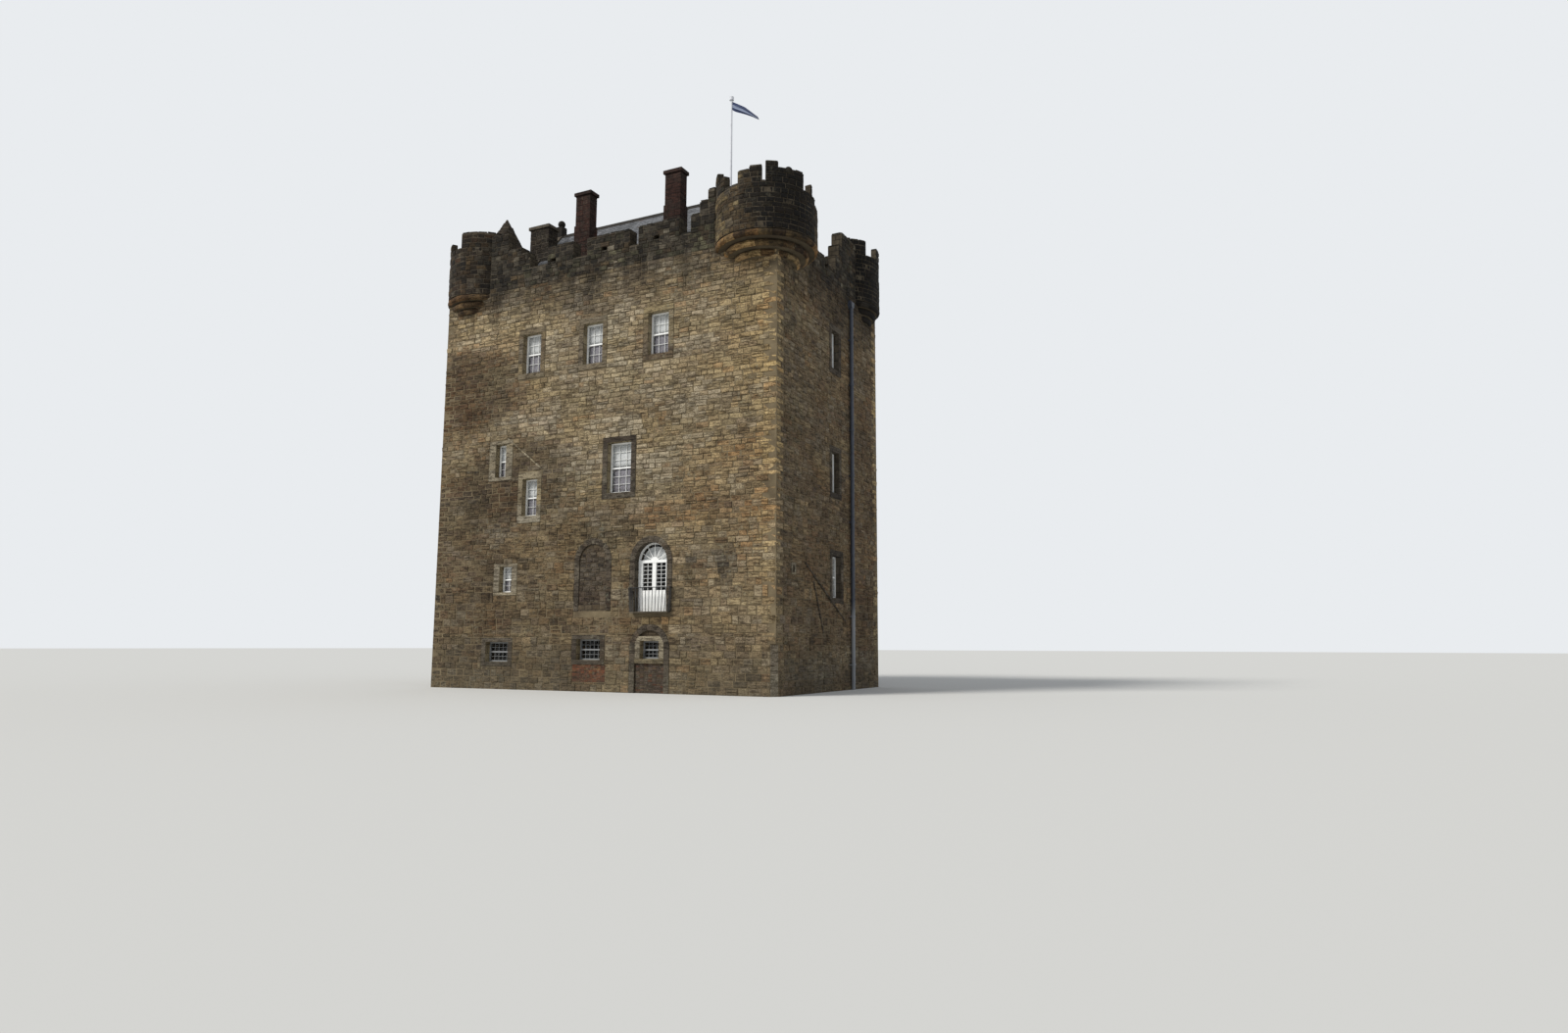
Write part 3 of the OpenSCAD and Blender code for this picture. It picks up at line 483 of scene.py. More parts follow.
# The zone round 330 degrees darkens the rolls on the far side of the great round: painted shade
ROLL_WEATHER_AND_SHADE = Weather(mix(tan=2.0, orange=3.0, umber=0.9, gold=2.4, dark=0.6),
                       (Zone(330.0, 18.4, 62.0, 3.0, mix(dark=3.0, umber=3.0), 0.4),), spread=0.2, light=1.5)
DULL_ROLL_WEATHER = Weather(mix(tan=1.4, umber=3.0, dark=2.0, orange=0.7), spread=0.24)
GABLE_WEATHER = Weather(mix(grey=2.6, umber=1.6, dark=1.4, buff=0.9, moss=1.0), spread=0.22)
STACK_WEATHER = Weather(mix(dark=2.0, umber=1.8, grey=2.2, plum=0.6), spread=0.2)
CONE_WEATHER = Weather(mix(dark=1.2, umber=1.8, grey=2.4), spread=0.1, even=0.75, light=1.25)
SHAFT_WEATHER = Weather(mix(red=3.0, plum=0.8, dark=1.0), spread=0.16, light=1.3)
BASE_WEATHER = Weather(mix(grey=2.0, pale=1.0, umber=1.0), spread=0.12)
BRICK_WEATHER = Weather(mix(brick=4.0, red=1.6, rust=2.4, orange=0.7), spread=0.2, even=0.3, light=0.9)
OLD_BRICK_WEATHER = Weather(mix(red=3.0, plum=2.6, brick=0.6, umber=1.0), spread=0.2, even=0.3, light=0.85)
PALE_DRESSED = Weather(mix(pale=2.4, buff=1.6, grey=1.4), spread=0.1, light=0.86)
TAN_DRESSED = Weather(mix(buff=1.6, grey=2.4, umber=1.2), spread=0.1, light=0.95)
GREY_DRESSED = Weather(mix(dark=3.0, grey=1.4, umber=0.4), spread=0.16, light=0.85)
SLATE_WEATHER = Weather(mix(slate=3.0, slate_pale=1.4, slate_dark=1.2, plum=0.3), spread=0.14, even=0.4,
                        light=0.78)
INFILL_WEATHER = Weather(mix(umber=1.6, dark=2.4, grey=2.4, plum=0.8), spread=0.24, light=0.74)


# Finishes


@dataclass(frozen=True)
class LaidStone:
    """Sandstone, quarried, split or tooled, and laid: each block has its own tint.

    The bed of the rock shows as faint bands, darkened in their hollows as painted shade, the tooling and
    the pits as a coarse grain, lichen as pale spots, and rain carries soot down from the wall head in
    streaks.
    """

    name: str = "quarried_sandstone"
    crust: float = 0.8
    crust_from: float = 15.5
    crust_to: float = 20.5
    pit_mm: float = 60.0
    lichen: float = 0.3

    def material(self) -> Material:
        """Makes the stone.

        Returns:
            The material.
        """
        m = new_material(self.name)
        where = add_node(m, "TexCoord").outputs["Object"]
        tint = add_node(m, "Attribute", {"attribute_name": "tint"})
        # Beds of the rock, 80 mm high and 360 mm long, darkened where their bump sinks as painted shade, and
        # a pitted grain of 45 mm
        bands = add_node(m, "Mapping", None, Vector=where, Scale=(1.0, 1.0, 4.5))
        bed = add_node(m, "TexNoise", None, Vector=bands, Scale=per_metre(360), Detail=6.0, Roughness=0.68)
        bed_banding_and_shade = add_node(m, "ValToRGB", {"shades": ((0.4, "#685F54"), (0.54, "#FFFFFF"))}, Fac=bed)
        grain = add_node(m, "TexNoise", None, Vector=where, Scale=per_metre(45), Detail=4.0, Roughness=0.65)
        grain_shade = add_node(m, "ValToRGB", {"shades": ((0.35, "#6C655B"), (0.58, "#FFFFFF"))}, Fac=grain)
        colour = add_node(m, "Mix", TIMES, i0=0.8, i6=tint, i7=bed_banding_and_shade)
        colour = add_node(m, "Mix", TIMES, i0=0.8, i6=colour, i7=grain_shade)
        # Lichen: dull grey-green rosettes of 120 to 200 mm, in drifts of 2 m
        drift = add_node(m, "TexNoise", None, Vector=where, Scale=per_metre(2200), Detail=3.0)
        drifts = add_node(m, "MapRange", SMOOTH, Value=drift, From_Min=0.42, From_Max=0.62)
        rosette = add_node(m, "TexNoise", None, Vector=where, Scale=per_metre(170), Detail=3.0, Roughness=0.7)
        spots = add_node(m, "MapRange", SMOOTH, Value=rosette, From_Min=0.53, From_Max=0.66,
                         To_Max=self.lichen)
        grown = add_node(m, "Math", PRODUCT, i0=spots, i1=drifts)
        colour = add_node(m, "Mix", BLEND, i0=grown, i6=colour, i7=linear("#8F8C78"))
        # Soot: long up and down, 650 mm across, thicker towards the wall head
        up = add_node(m, "SeparateXYZ", None, Vector=where).outputs["Z"]
        runs = add_node(m, "Mapping", None, Vector=where, Scale=(1.0, 1.0, 0.14))
        streak = add_node(m, "TexNoise", None, Vector=runs, Scale=per_metre(650), Detail=5.0, Roughness=0.62)
        head = add_node(m, "MapRange", SMOOTH, Value=up, From_Min=self.crust_from, From_Max=self.crust_to)
        wet = add_node(m, "Math", PRODUCT_PLUS, i0=head, i1=0.5, i2=streak)
        black = add_node(m, "MapRange", SMOOTH, Value=wet, From_Min=0.62, From_Max=1.0, To_Max=self.crust)
        colour = add_node(m, "Mix", TIMES, i0=black, i6=colour, i7=linear("#4C4740"))
        # Splashed earth and moss along the ground
        splash = add_node(m, "TexNoise", None, Vector=where, Scale=per_metre(800), Detail=4.0)
        low = add_node(m, "MapRange", SMOOTH, Value=up, From_Min=2.6, From_Max=0.0, To_Max=0.75)
        damp = add_node(m, "Math", PRODUCT, i0=low, i1=splash)
        colour = add_node(m, "Mix", BLEND, i0=damp, i6=colour, i7=linear("#4E4A3E"))
        relief = add_node(m, "Math", PRODUCT_PLUS, i0=grain, i1=0.3, i2=bed)
        return finish_with(m, relief, self.pit_mm, Base_Color=colour, Roughness=0.92, Specular_IOR_Level=0.25)


@dataclass(frozen=True)
class PlainStone:
    """Sandstone surfaces with no laid blocks of their own: paving, copings, inner faces.

    Joints of dark lime show where the flags or blocks meet.
    """

    name: str
    light: str
    dark: str
    block: Span = (0.7, 0.45)
    flat: bool = False

    def material(self) -> Material:
        """Makes the stone.

        Returns:
            The material.
        """
        m = new_material(self.name)
        where = add_node(m, "TexCoord").outputs["Object"]
        cloud = add_node(m, "TexNoise", None, Vector=where, Scale=per_metre(420), Detail=5.0, Roughness=0.6)
        shade = add_node(m, "ValToRGB", {"shades": ((0.3, self.dark), (0.7, self.light))}, Fac=cloud)
        axes = add_node(m, "SeparateXYZ", None, Vector=where)
        across = add_node(m, "Math", SUM, i0=axes.outputs["X"], i1=0.0 if self.flat else axes.outputs["Y"])
        sheet = add_node(m, "CombineXYZ", None, X=across, Y=axes.outputs["Y" if self.flat else "Z"])
        joints = add_node(m, "TexBrick", {"offset": 0.5}, Vector=sheet, Color1=linear("#FFFFFF"),
                          Color2=linear("#D2CCC2"), Mortar=linear("#5A544B"), Scale=1.0, Mortar_Size=0.012,
                          Mortar_Smooth=0.3, Brick_Width=self.block[0], Row_Height=self.block[1])
        colour = add_node(m, "Mix", TIMES, i0=0.9, i6=shade, i7=joints)
        grain = add_node(m, "TexNoise", None, Vector=where, Scale=per_metre(40), Detail=4.0, Roughness=0.65)
        speck = add_node(m, "ValToRGB", {"shades": ((0.3, "#9A9288"), (0.62, "#FFFFFF"))}, Fac=grain)
        colour = add_node(m, "Mix", TIMES, i0=0.6, i6=colour, i7=speck)
        deep = add_node(m, "Math", PRODUCT_PLUS, i0=grain, i1=0.4, i2=joints.outputs["Fac"])
        relief = add_node(m, "Math", DIFFERENCE, i0=1.0, i1=deep)
        return finish_with(m, relief, 8.0, Base_Color=colour, Roughness=0.93, Specular_IOR_Level=0.25)


@dataclass(frozen=True)
class LimeMortar:
    """Lime mortar, pressed into the joints by hand: a gritty, dull bed behind the stones."""

    name: str = "lime_mortar_pointing"
    light: str = "#8A7C62"
    dark: str = "#665A47"

    def material(self) -> Material:
        """Makes the mortar.

        Returns:
            The material.
        """
        m = new_material(self.name)
        where = add_node(m, "TexCoord").outputs["Object"]
        cloud = add_node(m, "TexNoise", None, Vector=where, Scale=per_metre(600), Detail=5.0)
        colour = add_node(m, "ValToRGB", {"shades": ((0.3, self.dark), (0.7, self.light))}, Fac=cloud)
        # Sooty towards the wall head
        up = add_node(m, "SeparateXYZ", None, Vector=where).outputs["Z"]
        head = add_node(m, "MapRange", SMOOTH, Value=up, From_Min=16.5, From_Max=19.8, To_Max=0.8)
        colour = add_node(m, "Mix", BLEND, i0=head, i6=colour, i7=linear("#322D27"))
        # Sand of 3 mm, drawn at 14 mm so that it shows
        grit = add_node(m, "TexNoise", None, Vector=where, Scale=per_metre(14), Detail=4.0, Roughness=0.7)
        speck = add_node(m, "ValToRGB", {"shades": ((0.3, "#7A766E"), (0.7, "#FFFFFF"))}, Fac=grit)
        colour = add_node(m, "Mix", TIMES, i0=0.5, i6=colour, i7=speck)
        return finish_with(m, grit, 12.0, Base_Color=colour, Roughness=0.95, Specular_IOR_Level=0.2)


@dataclass(frozen=True)
class SplitSlate:
    """Split slate: thin grey sheets whose cleft faces catch the sky, with brown lichen spots."""

    name: str = "split_slate"

    def material(self) -> Material:
        """Makes the slate.

        Returns:
            The material.
        """
        m = new_material(self.name)
        where = add_node(m, "TexCoord").outputs["Object"]
        tint = add_node(m, "Attribute", {"attribute_name": "tint"})
        leaves = add_node(m, "Mapping", None, Vector=where, Scale=(1.0, 1.0, 3.0))
        cleft = add_node(m, "TexNoise", None, Vector=leaves, Scale=per_metre(60), Detail=5.0, Roughness=0.65)
        shade = add_node(m, "ValToRGB", {"shades": ((0.3, "#8A8A8E"), (0.65, "#FFFFFF"))}, Fac=cleft)
        colour = add_node(m, "Mix", TIMES, i0=0.7, i6=tint, i7=shade)
        rosette = add_node(m, "TexNoise", None, Vector=where, Scale=per_metre(130), Detail=4.0, Roughness=0.7)
        spots = add_node(m, "MapRange", SMOOTH, Value=rosette, From_Min=0.6, From_Max=0.72, To_Max=0.5)
        colour = add_node(m, "Mix", BLEND, i0=spots, i6=colour, i7=linear("#5A574F"))
        return finish_with(m, cleft, 5.0, Base_Color=colour, Roughness=0.55, Specular_IOR_Level=0.4)


@dataclass(frozen=True)
class GlossPaint:
    """Linseed gloss paint, brushed on timber or iron: faint brush lines, dirt in the lows, chalking with age.

    Near the ground the paint is another one ("faded"), or chalked by splashing rain.
    """

    name: str
    shade: str
    dirt: str
    rough: float = 0.42
    faded: str = ""
    faded_to: float = 3.6

    def material(self) -> Material:
        """Makes the paint.

        Returns:
            The material.
        """
        m = new_material(self.name)
        where = add_node(m, "TexCoord").outputs["Object"]
        strokes = add_node(m, "Mapping", None, Vector=where, Scale=(8.0, 8.0, 0.8))
        brush = add_node(m, "TexNoise", None, Vector=strokes, Scale=per_metre(60), Detail=4.0)
        cloud = add_node(m, "TexNoise", None, Vector=where, Scale=per_metre(240), Detail=5.0, Roughness=0.6)
        grime = add_node(m, "MapRange", SMOOTH, Value=cloud, From_Min=0.5, From_Max=0.78, To_Max=0.55)
        colour = add_node(m, "Mix", BLEND, i0=grime, i6=linear(self.shade), i7=linear(self.dirt))
        if self.faded:
            up = add_node(m, "SeparateXYZ", None, Vector=where).outputs["Z"]
            low = add_node(m, "MapRange", SMOOTH, Value=up, From_Min=self.faded_to + 0.5,
                           From_Max=self.faded_to - 0.5, To_Max=0.8)
            colour = add_node(m, "Mix", BLEND, i0=low, i6=colour, i7=linear(self.faded))
        chalk = add_node(m, "MapRange", SMOOTH, Value=cloud, From_Min=0.3, From_Max=0.8, To_Min=self.rough,
                         To_Max=self.rough + 0.3)
        return finish_with(m, brush, 0.6, Base_Color=colour, Roughness=chalk)


@dataclass(frozen=True)
class WindowGlass:
    """Drawn sheet glass: clear, slightly wavy, so that the sky breaks up in it."""

    name: str = "drawn_sheet_glass"

    def material(self) -> Material:
        """Makes the glass.

        Returns:
            The material.
        """
        m = new_material(self.name)
        where = add_node(m, "TexCoord").outputs["Object"]
        wave = add_node(m, "TexNoise", None, Vector=where, Scale=per_metre(350), Detail=2.0)
        return finish_with(m, wave, 3.0, Base_Color=linear("#20262A"), Roughness=0.04, Alpha=0.12, IOR=1.5)


@dataclass(frozen=True)
class SawnBoards:
    """Sawn oak boards: grain along them, and dark gaps between boards 180 mm wide."""

    name: str
    light: str
    dark: str
    stretch: Size = (0.5, 6.0, 6.0)

    def material(self) -> Material:
        """Makes the boards.

        Returns:
            The material.
        """
        m = new_material(self.name)
        where = add_node(m, "TexCoord").outputs["Object"]
        along = add_node(m, "Mapping", None, Vector=where, Scale=self.stretch)
        fibre = add_node(m, "TexNoise", None, Vector=along, Scale=per_metre(70), Detail=5.0, Roughness=0.6)
        colour = add_node(m, "ValToRGB", {"shades": ((0.3, self.dark), (0.7, self.light))}, Fac=fibre)
        bands = {"bands_direction": "Y", "wave_profile": "SIN"}
        wave = add_node(m, "TexWave", bands, Vector=where, Scale=2.8)
        line = add_node(m, "MapRange", SMOOTH, Value=wave.outputs["Fac"], From_Min=0.03, From_Max=0.0)
        colour = add_node(m, "Mix", BLEND, i0=line, i6=colour, i7=linear("#120E0A"))
        return finish_with(m, fibre, 3.0, Base_Color=colour, Roughness=0.7)


@dataclass(frozen=True)
class WovenCloth:
    """Plain woven cloth: threads of 0.5 mm, drawn at 8 mm so that they show, and soft, uneven dye."""

    name: str
    shade: str
    worn: str
    stripe: str = ""

    def material(self) -> Material:
        """Makes the cloth.

        Returns:
            The material.
        """
        m = new_material(self.name)
        flat = add_node(m, "UVMap", {"uv_map": "UVMap"})
        weave = add_node(m, "TexChecker", None, Vector=flat, Scale=160.0)
        where = add_node(m, "TexCoord").outputs["Object"]
        cloud = add_node(m, "TexNoise", None, Vector=where, Scale=per_metre(300), Detail=3.0)
        colour = add_node(m, "Mix", BLEND, i0=cloud, i6=linear(self.shade), i7=linear(self.worn))
        if self.stripe:
            # One pale band along the middle third of the cloth
            along = add_node(m, "SeparateXYZ", None, Vector=flat).outputs["Y"]
            centred = add_node(m, "Math", DIFFERENCE, i0=along, i1=0.5)
            far = add_node(m, "Math", {"operation": "ABSOLUTE"}, i0=centred)
            band = add_node(m, "MapRange", SMOOTH, Value=far, From_Min=0.19, From_Max=0.15)
            colour = add_node(m, "Mix", BLEND, i0=band, i6=colour, i7=linear(self.stripe))
        return finish_with(m, weave.outputs["Fac"], 0.8, Base_Color=colour, Roughness=0.85, Sheen_Weight=0.15)


# Stones


@dataclass
class Hole:
    """A rectangle or a round-headed shape that the stones of a face leave free, on the face's own axes."""

    centre: float
    foot: float
    width: float
    top: float
    spring: float | None = None

    def span(self, low: float, high: float) -> Span | None:
        """The stretch of a course that the hole takes.

        Args:
            low: The course's foot.
            high: The course's top.

        Returns:
            Its two ends, or None where the course misses the hole.
        """
        slack = 0.06
        half = self.width / 2
        middle = (low + high) / 2
        if self.spring is None:
            if low >= self.top - slack or high <= self.foot + slack:
                return None
        elif high <= self.foot + slack or middle >= self.spring + half:
            return None
        elif middle > self.spring:
            half = math.sqrt(max(half * half - (middle - self.spring) ** 2, 0.0))
        return (self.centre - half, self.centre + half)


@dataclass
class Face:
    """A flat stretch of masonry: its middle on the ground and its direction inwards."""

    middle: Vector
    inward: Vector

    @property
    def along(self) -> Vector:
        """The level direction along the face, to the right when it is looked at from outside."""
        return Vector((self.inward.y, -self.inward.x, 0))

    def at(self, x: float, z: float, proud: float) -> Vector:
        """A point on the face, or proud of it."""
        return self.middle + self.along * x - self.inward * proud + Vector((0, 0, z))

    def place(self, x: float, z: float, proud: float) -> Matrix:
        """The matrix that stands a model piece, with its face towards -Y, at such a point."""
        return Matrix.Translation(self.at(x, z, proud)) @ turned(self.along, self.inward, UP)

    def back(self, depth: float) -> "Face":
        """The same face, set back into the wall."""
        return Face(self.middle + self.inward * depth, self.inward)


FRONT = Face(Vector((0, -HALF_D, 0)), Vector((0, 1, 0)))
RIGHT = Face(Vector((HALF_L, 0, 0)), Vector((-1, 0, 0)))
BACK = Face(Vector((0, HALF_D, 0)), Vector((0, -1, 0)))
LEFT = Face(Vector((-HALF_L, 0, 0)), Vector((1, 0, 0)))


class Cut(Enum):
    """How a stone's face was worked."""

    RUBBLE = "split, pillowed and uneven"
    TOOLED = "squared, with a fine chamfer"


@dataclass
class Bed:
    """How the stones of one stretch are cut and laid: lengths, how proud they stand, and joints."""

    sizes: Span = (0.26, 0.66)
    proud: Span = (0.004, 0.042)
    joint: float = 0.022
    upright: float = 0.01
    cut: Cut = Cut.RUBBLE
    split: float = 0.14


@dataclass
class Mason:
    """Cuts a few model stones and lays copies of them, each with its own mesh and tint.

    The seed starts the mason's own random numbers, so that every run lays the same stones.
    """

    seed: int
    finish_stone: Material
    models: dict[Cut, list[Object]] = field(default_factory=dict)
    laid: list[Object] = field(default_factory=list)
    courses: list[Object] = field(default_factory=list)

    def __post_init__(self) -> None:
        """Cuts the model stones."""
        self.rng = random.Random(self.seed)
        self.models[Cut.RUBBLE] = [self.cut_stone(0.07 + 0.015 * k, 0.22, 0.045, k + 3) for k in range(5)]
        self.models[Cut.TOOLED] = [self.cut_stone(0.03, 0.12, 0.004, k + 9) for k in range(2)]

    @staticmethod
    def cut_stone(chamfer: float, depth: float, rough: float, seed: int) -> Object:
        """Cuts one model stone: a unit block with a raised, worked face towards -Y.

        Args:
            chamfer: Width of the sloping edge, as a share of the face.
            depth: How far the face is raised, as a share of the block's depth.
            rough: How far its corners wander.
            seed: Picks how they wander.

        Returns:
            The stone, one metre each way.
        """
        stone = add_block()
        stone.name = "model_stone"
        edit_picked(stone, "polygons", faces_out)
        bpy.ops.mesh.inset(thickness=chamfer, depth=depth)
        bpy.ops.mesh.select_all(action="SELECT")
        bpy.ops.transform.vertex_random(offset=rough, uniform=1.0, normal=0.0, seed=seed)
        bpy.ops.object.mode_set(mode="OBJECT")
        # Stretched back to a metre each way, so that a laid stone is as large as it is told to be
        for axis in range(3):
            low = min(vertex.co[axis] for vertex in stone.data.vertices)
            high = max(vertex.co[axis] for vertex in stone.data.vertices)
            for vertex in stone.data.vertices:
                vertex.co[axis] = (vertex.co[axis] - low) / (high - low) - 0.5
        stone.data.attributes.new("tint", "FLOAT_COLOR", "POINT")
        return stone

    def stone(self, centre: Vector, along: Vector, inward: Vector, size: Size, tint: Colour,
              cut: Cut = Cut.RUBBLE) -> None:
        """Lays one stone.

        Args:
            centre: The middle of the stone.
            along: Unit direction of its length.
            inward: Unit direction of its depth, into the wall.
            size: Length, depth and height in metres.
            tint: Its linear colour.
            cut: How its face was worked.
        """
        axes = turned(along * size[0], inward * size[1], along.cross(inward) * size[2])
        model = self.rng.choice(self.models[cut])
        self.laid.append(copy_mesh(model, Matrix.Translation(centre) @ axes, tint))

    def close_course(self) -> None:
        """Joins the stones laid since the last course."""
        if self.laid:
            self.courses.append(join("course", self.laid))
            self.laid = []

    def finish(self, name: str, slot: str, material: Material | None = None) -> None:
        """Joins all courses into one piece and dresses it.

        Args:
            name: The piece's name.
            slot: Not used.
            material: Its finish, where it isn't the usual stone.
        """
        self.close_course()
        settle(dress(join(name, self.courses), material or self.finish_stone))
        self.courses = []

    def put_away(self) -> None:
        """Removes the model stones once all is laid."""
        for model in self.models[Cut.RUBBLE] + self.models[Cut.TOOLED]:
            bpy.data.objects.remove(model)

    def heights(self, low: float, high: float, step: Span) -> list[Span]:
        """Splits a height into courses.

        Args:
            low: The foot of the first course.
            high: The top of the last one.
            step: Least and greatest course height.

        Returns:
            The courses as pairs of foot and top.
        """
        courses = []
        z = low
        while z < high - 0.05:
            top = min(high, z + self.rng.uniform(*step))
            if high - top < step[0] * 0.5:
                top = high
            courses.append((z, top))
            z = top
        return courses

    def row(self, face: Face, span: Span, course: Span, bed: Bed, weather: Weather,
            waves: bool = False) -> None:
        """Fills one free stretch of a course.

        Args:
            face: The face that it lies on.
            span: Its two ends along the face.
            course: Its foot and top.
            bed: How the stones are cut and laid.
            weather: How they are coloured.
            waves: Whether the course rises and falls a little, as an old one does; the lowest one never does.
        """
        x, end = span
        low, high = course
        while end - x > 0.06:
            length = self.rng.uniform(*bed.sizes)
            if end - x - length < bed.sizes[0] * 0.6:
                length = end - x
                if length > bed.sizes[1] * 1.15:
                    length /= 2
            middle = x + length / 2
            out = self.rng.uniform(*bed.proud)
            shift = 0.022 * perlin(Vector((middle * 0.45, low * 0.5, 1.7))) if waves and low > 0.01 else 0.0
            parts = [(low, high)]
            if high - low > 0.2 and self.rng.random() < bed.split:
                cut = low + (high - low) * self.rng.uniform(0.38, 0.62)
                parts = [(low, cut), (cut, high)]
            depth = out + 0.03
            for foot, top in parts:
                z = (foot + top) / 2
                self.stone(face.at(middle, z + shift, out - depth / 2), face.along, face.inward,
                           (max(length - bed.upright, 0.04), depth, max(top - foot - bed.joint, 0.03)),
                           weather.tint(middle, z, self.rng), bed.cut)
            x += length

    def block(self, face: Face, span: Span, course: Span, out: float, weather: Weather) -> None:
        """Lays one squared block on a face.

        Args:
            face: The face.
            span: The block's two ends.
            course: Its foot and top.
            out: How far its face stands proud.
            weather: How it is coloured.
        """
        deep = 0.05
        x, z = (span[0] + span[1]) / 2, (course[0] + course[1]) / 2
        size = (span[1] - span[0] - 0.008, deep, course[1] - course[0] - 0.009)
        self.stone(face.at(x, z, out - deep / 2), face.along, face.inward, size, weather.tint(x, z, self.rng),
                   Cut.TOOLED)

    def lay_box(self, low: Size, high: Size, step: Span, bed: Bed, weather: Weather) -> None:
        """Lays courses round the four sides of an upright shaft.

        Args:
            low: Its lowest corner.
            high: Its highest corner.
            step: Least and greatest course height.
            bed: How the blocks are cut and laid.
            weather: How they are coloured.
        """
        middle = Vector(((low[0] + high[0]) / 2, (low[1] + high[1]) / 2, 0))
        half_x, half_y = (high[0] - low[0]) / 2, (high[1] - low[1]) / 2
        for course in self.heights(low[2], high[2], step):
            for side in (FRONT, RIGHT, BACK, LEFT):
                level = side.inward.y != 0
                reach, width = (half_y, half_x + 0.012) if level else (half_x, half_y)
                face = Face(middle - side.inward * reach, side.inward)
                self.row(face, (-width, width), course, bed, weather)
            self.close_course()

    @staticmethod
    def cut_wedge(inner: float, outer: float, sweep: float) -> Object:
        """Cuts a model wedge stone for an arch: its length runs along X, its face looks towards -Y.

        Args:
            inner: The arch's inner radius.
            outer: Its outer radius.
            sweep: The angle that one wedge takes, in radians.

        Returns:
            The wedge, about the arch's middle.
        """
        middle = (outer + inner) / 2
        wedge = add_block((outer - inner - 0.008, 0.05, 2 * inner * math.tan(sweep / 2) - 0.009), middle)
        edit_picked(wedge, "vertices", lambda vertex: vertex.co.x > middle)
        bpy.ops.transform.resize(value=(1.0, 1.0, outer / inner))
        edit_picked(wedge, "polygons", faces_out)
        bpy.ops.mesh.inset(thickness=0.007, depth=0.005)
        bpy.ops.object.mode_set(mode="OBJECT")
        wedge.data.attributes.new("tint", "FLOAT_COLOR", "POINT")
        return wedge

    def lay_face(self, face: Face, span: Span, courses: list[Span], holes: list[Hole], bed: Bed,
                 weather: Weather, tops: list[Size] | None = None, corner: Span = (0.0, 0.0)) -> None:
        """Lays a whole face, course by course.

        Args:
            face: The face.
            span: Its two ends.
            courses: Foot and top of each course.
            holes: What stays free.
            bed: How the stones are cut and laid.
            weather: How they are coloured.
            tops: Stretches of a stepped top as (start, end, height); None for a level one.
            corner: Lengths of the two kinds of corner stone that end the courses in turn.
        """
        for index, (low, high) in enumerate(courses):
            inset = corner[index % 2]
            ends = (span[0] + inset, span[1] - inset)
            stretches = [(ends[0], ends[1], high)] if tops is None else self.stretches(tops, low, high)
            for start, end, top in stretches:
                pieces: list[Span] = [(max(start, ends[0]), min(end, ends[1]))]
                for hole in holes:
                    taken = hole.span(low, top)
                    if taken is None:
                        continue
                    pieces = [part for a, b in pieces
                              for part in ((a, min(b, taken[0])), (max(a, taken[1]), b))
                              if part[1] - part[0] > 0.05]
                    if hole.spring is None:
                        across = (max(start, taken[0]), min(end, taken[1]))
                        self.beside(face, across, (low, top), hole, bed, weather)
                for part in pieces:
                    if part[1] - part[0] > 0.05:
                        self.row(face, part, (low, top), bed, weather, waves=tops is None)
            self.close_course()

    def beside(self, face: Face, span: Span, course: Span, hole: Hole, bed: Bed, weather: Weather) -> None:
        """Lays what is left of a course under and over a square hole.

        Args:
            face: The face.
            span: The hole's two ends.
            course: The course's foot and top.
            hole: The hole.
            bed: How the stones are cut and laid.
            weather: How they are coloured.
        """
        for low, high in ((course[0], hole.foot), (hole.top, course[1])):
            if high - low > 0.07 and span[1] > span[0]:
                self.row(face, span, (low, high), bed, weather)

    @staticmethod
    def stretches(tops: list[Size], low: float, high: float) -> list[Size]:
        """Cuts a stepped top off at one course.

        Args:
            tops: Its stretches as (start, end, height).
            low: The course's foot.
            high: The course's top.

        Returns:
            The stretches that reach into the course; neighbours of the same height are one.
        """
        merged: list[Size] = []
        for start, end, top in sorted((a, b, min(t, high)) for a, b, t in tops if t > low + 0.07):
            if merged and abs(merged[-1][1] - start) < 0.002 and abs(merged[-1][2] - top) < 0.002:
                merged[-1] = (merged[-1][0], end, top)
            else:
                merged.append((start, end, top))
        return merged

    def lay_ring(self, centre: Vector, radius: float, arc: Span, courses: list[Span], bed: Bed,
                 weather: Weather, rim: list[Size]) -> None:
        """Lays a round wall whose stones reach the radius and no further.

        Args:
            centre: The ring's centre on plan.
            radius: Its outer radius.
            arc: Its first and last angle in degrees.
            courses: Foot and top of each course.
            bed: How the stones are cut and laid; "proud" is how far they stay inside the radius.
            weather: How they are coloured, by angle and height.
            rim: Stretches of the top as (start angle, end angle, height).
        """
        for low, high in courses:
            for start, end, top in self.stretches(rim, low, high):
                angle, end = max(start, arc[0]), min(end, arc[1])
                z = (low + top) / 2
                while end - angle > 1.0:
                    turn = math.degrees(self.rng.uniform(*bed.sizes) / radius)
                    if end - angle - turn < math.degrees(bed.sizes[0] * 0.6 / radius):
                        turn = end - angle
                    outward = bearing(math.radians(angle + turn / 2))
                    half = math.radians(turn) / 2
                    depth = 0.07 + radius * (1 - math.cos(half))
                    reach = radius * math.cos(0.85 * half) - self.rng.uniform(*bed.proud)
                    spot = centre + outward * (reach - depth / 2) + Vector((0, 0, z))
                    wide = max(2 * radius * math.sin(half) - 0.012, 0.04)
                    size = (wide, depth, max(top - low - 0.02, 0.04))
                    tint = weather.tint(angle % 360.0, z, self.rng)
                    self.stone(spot, tangent(outward), -outward, size, tint, bed.cut)
                    angle += turn
            self.close_course()

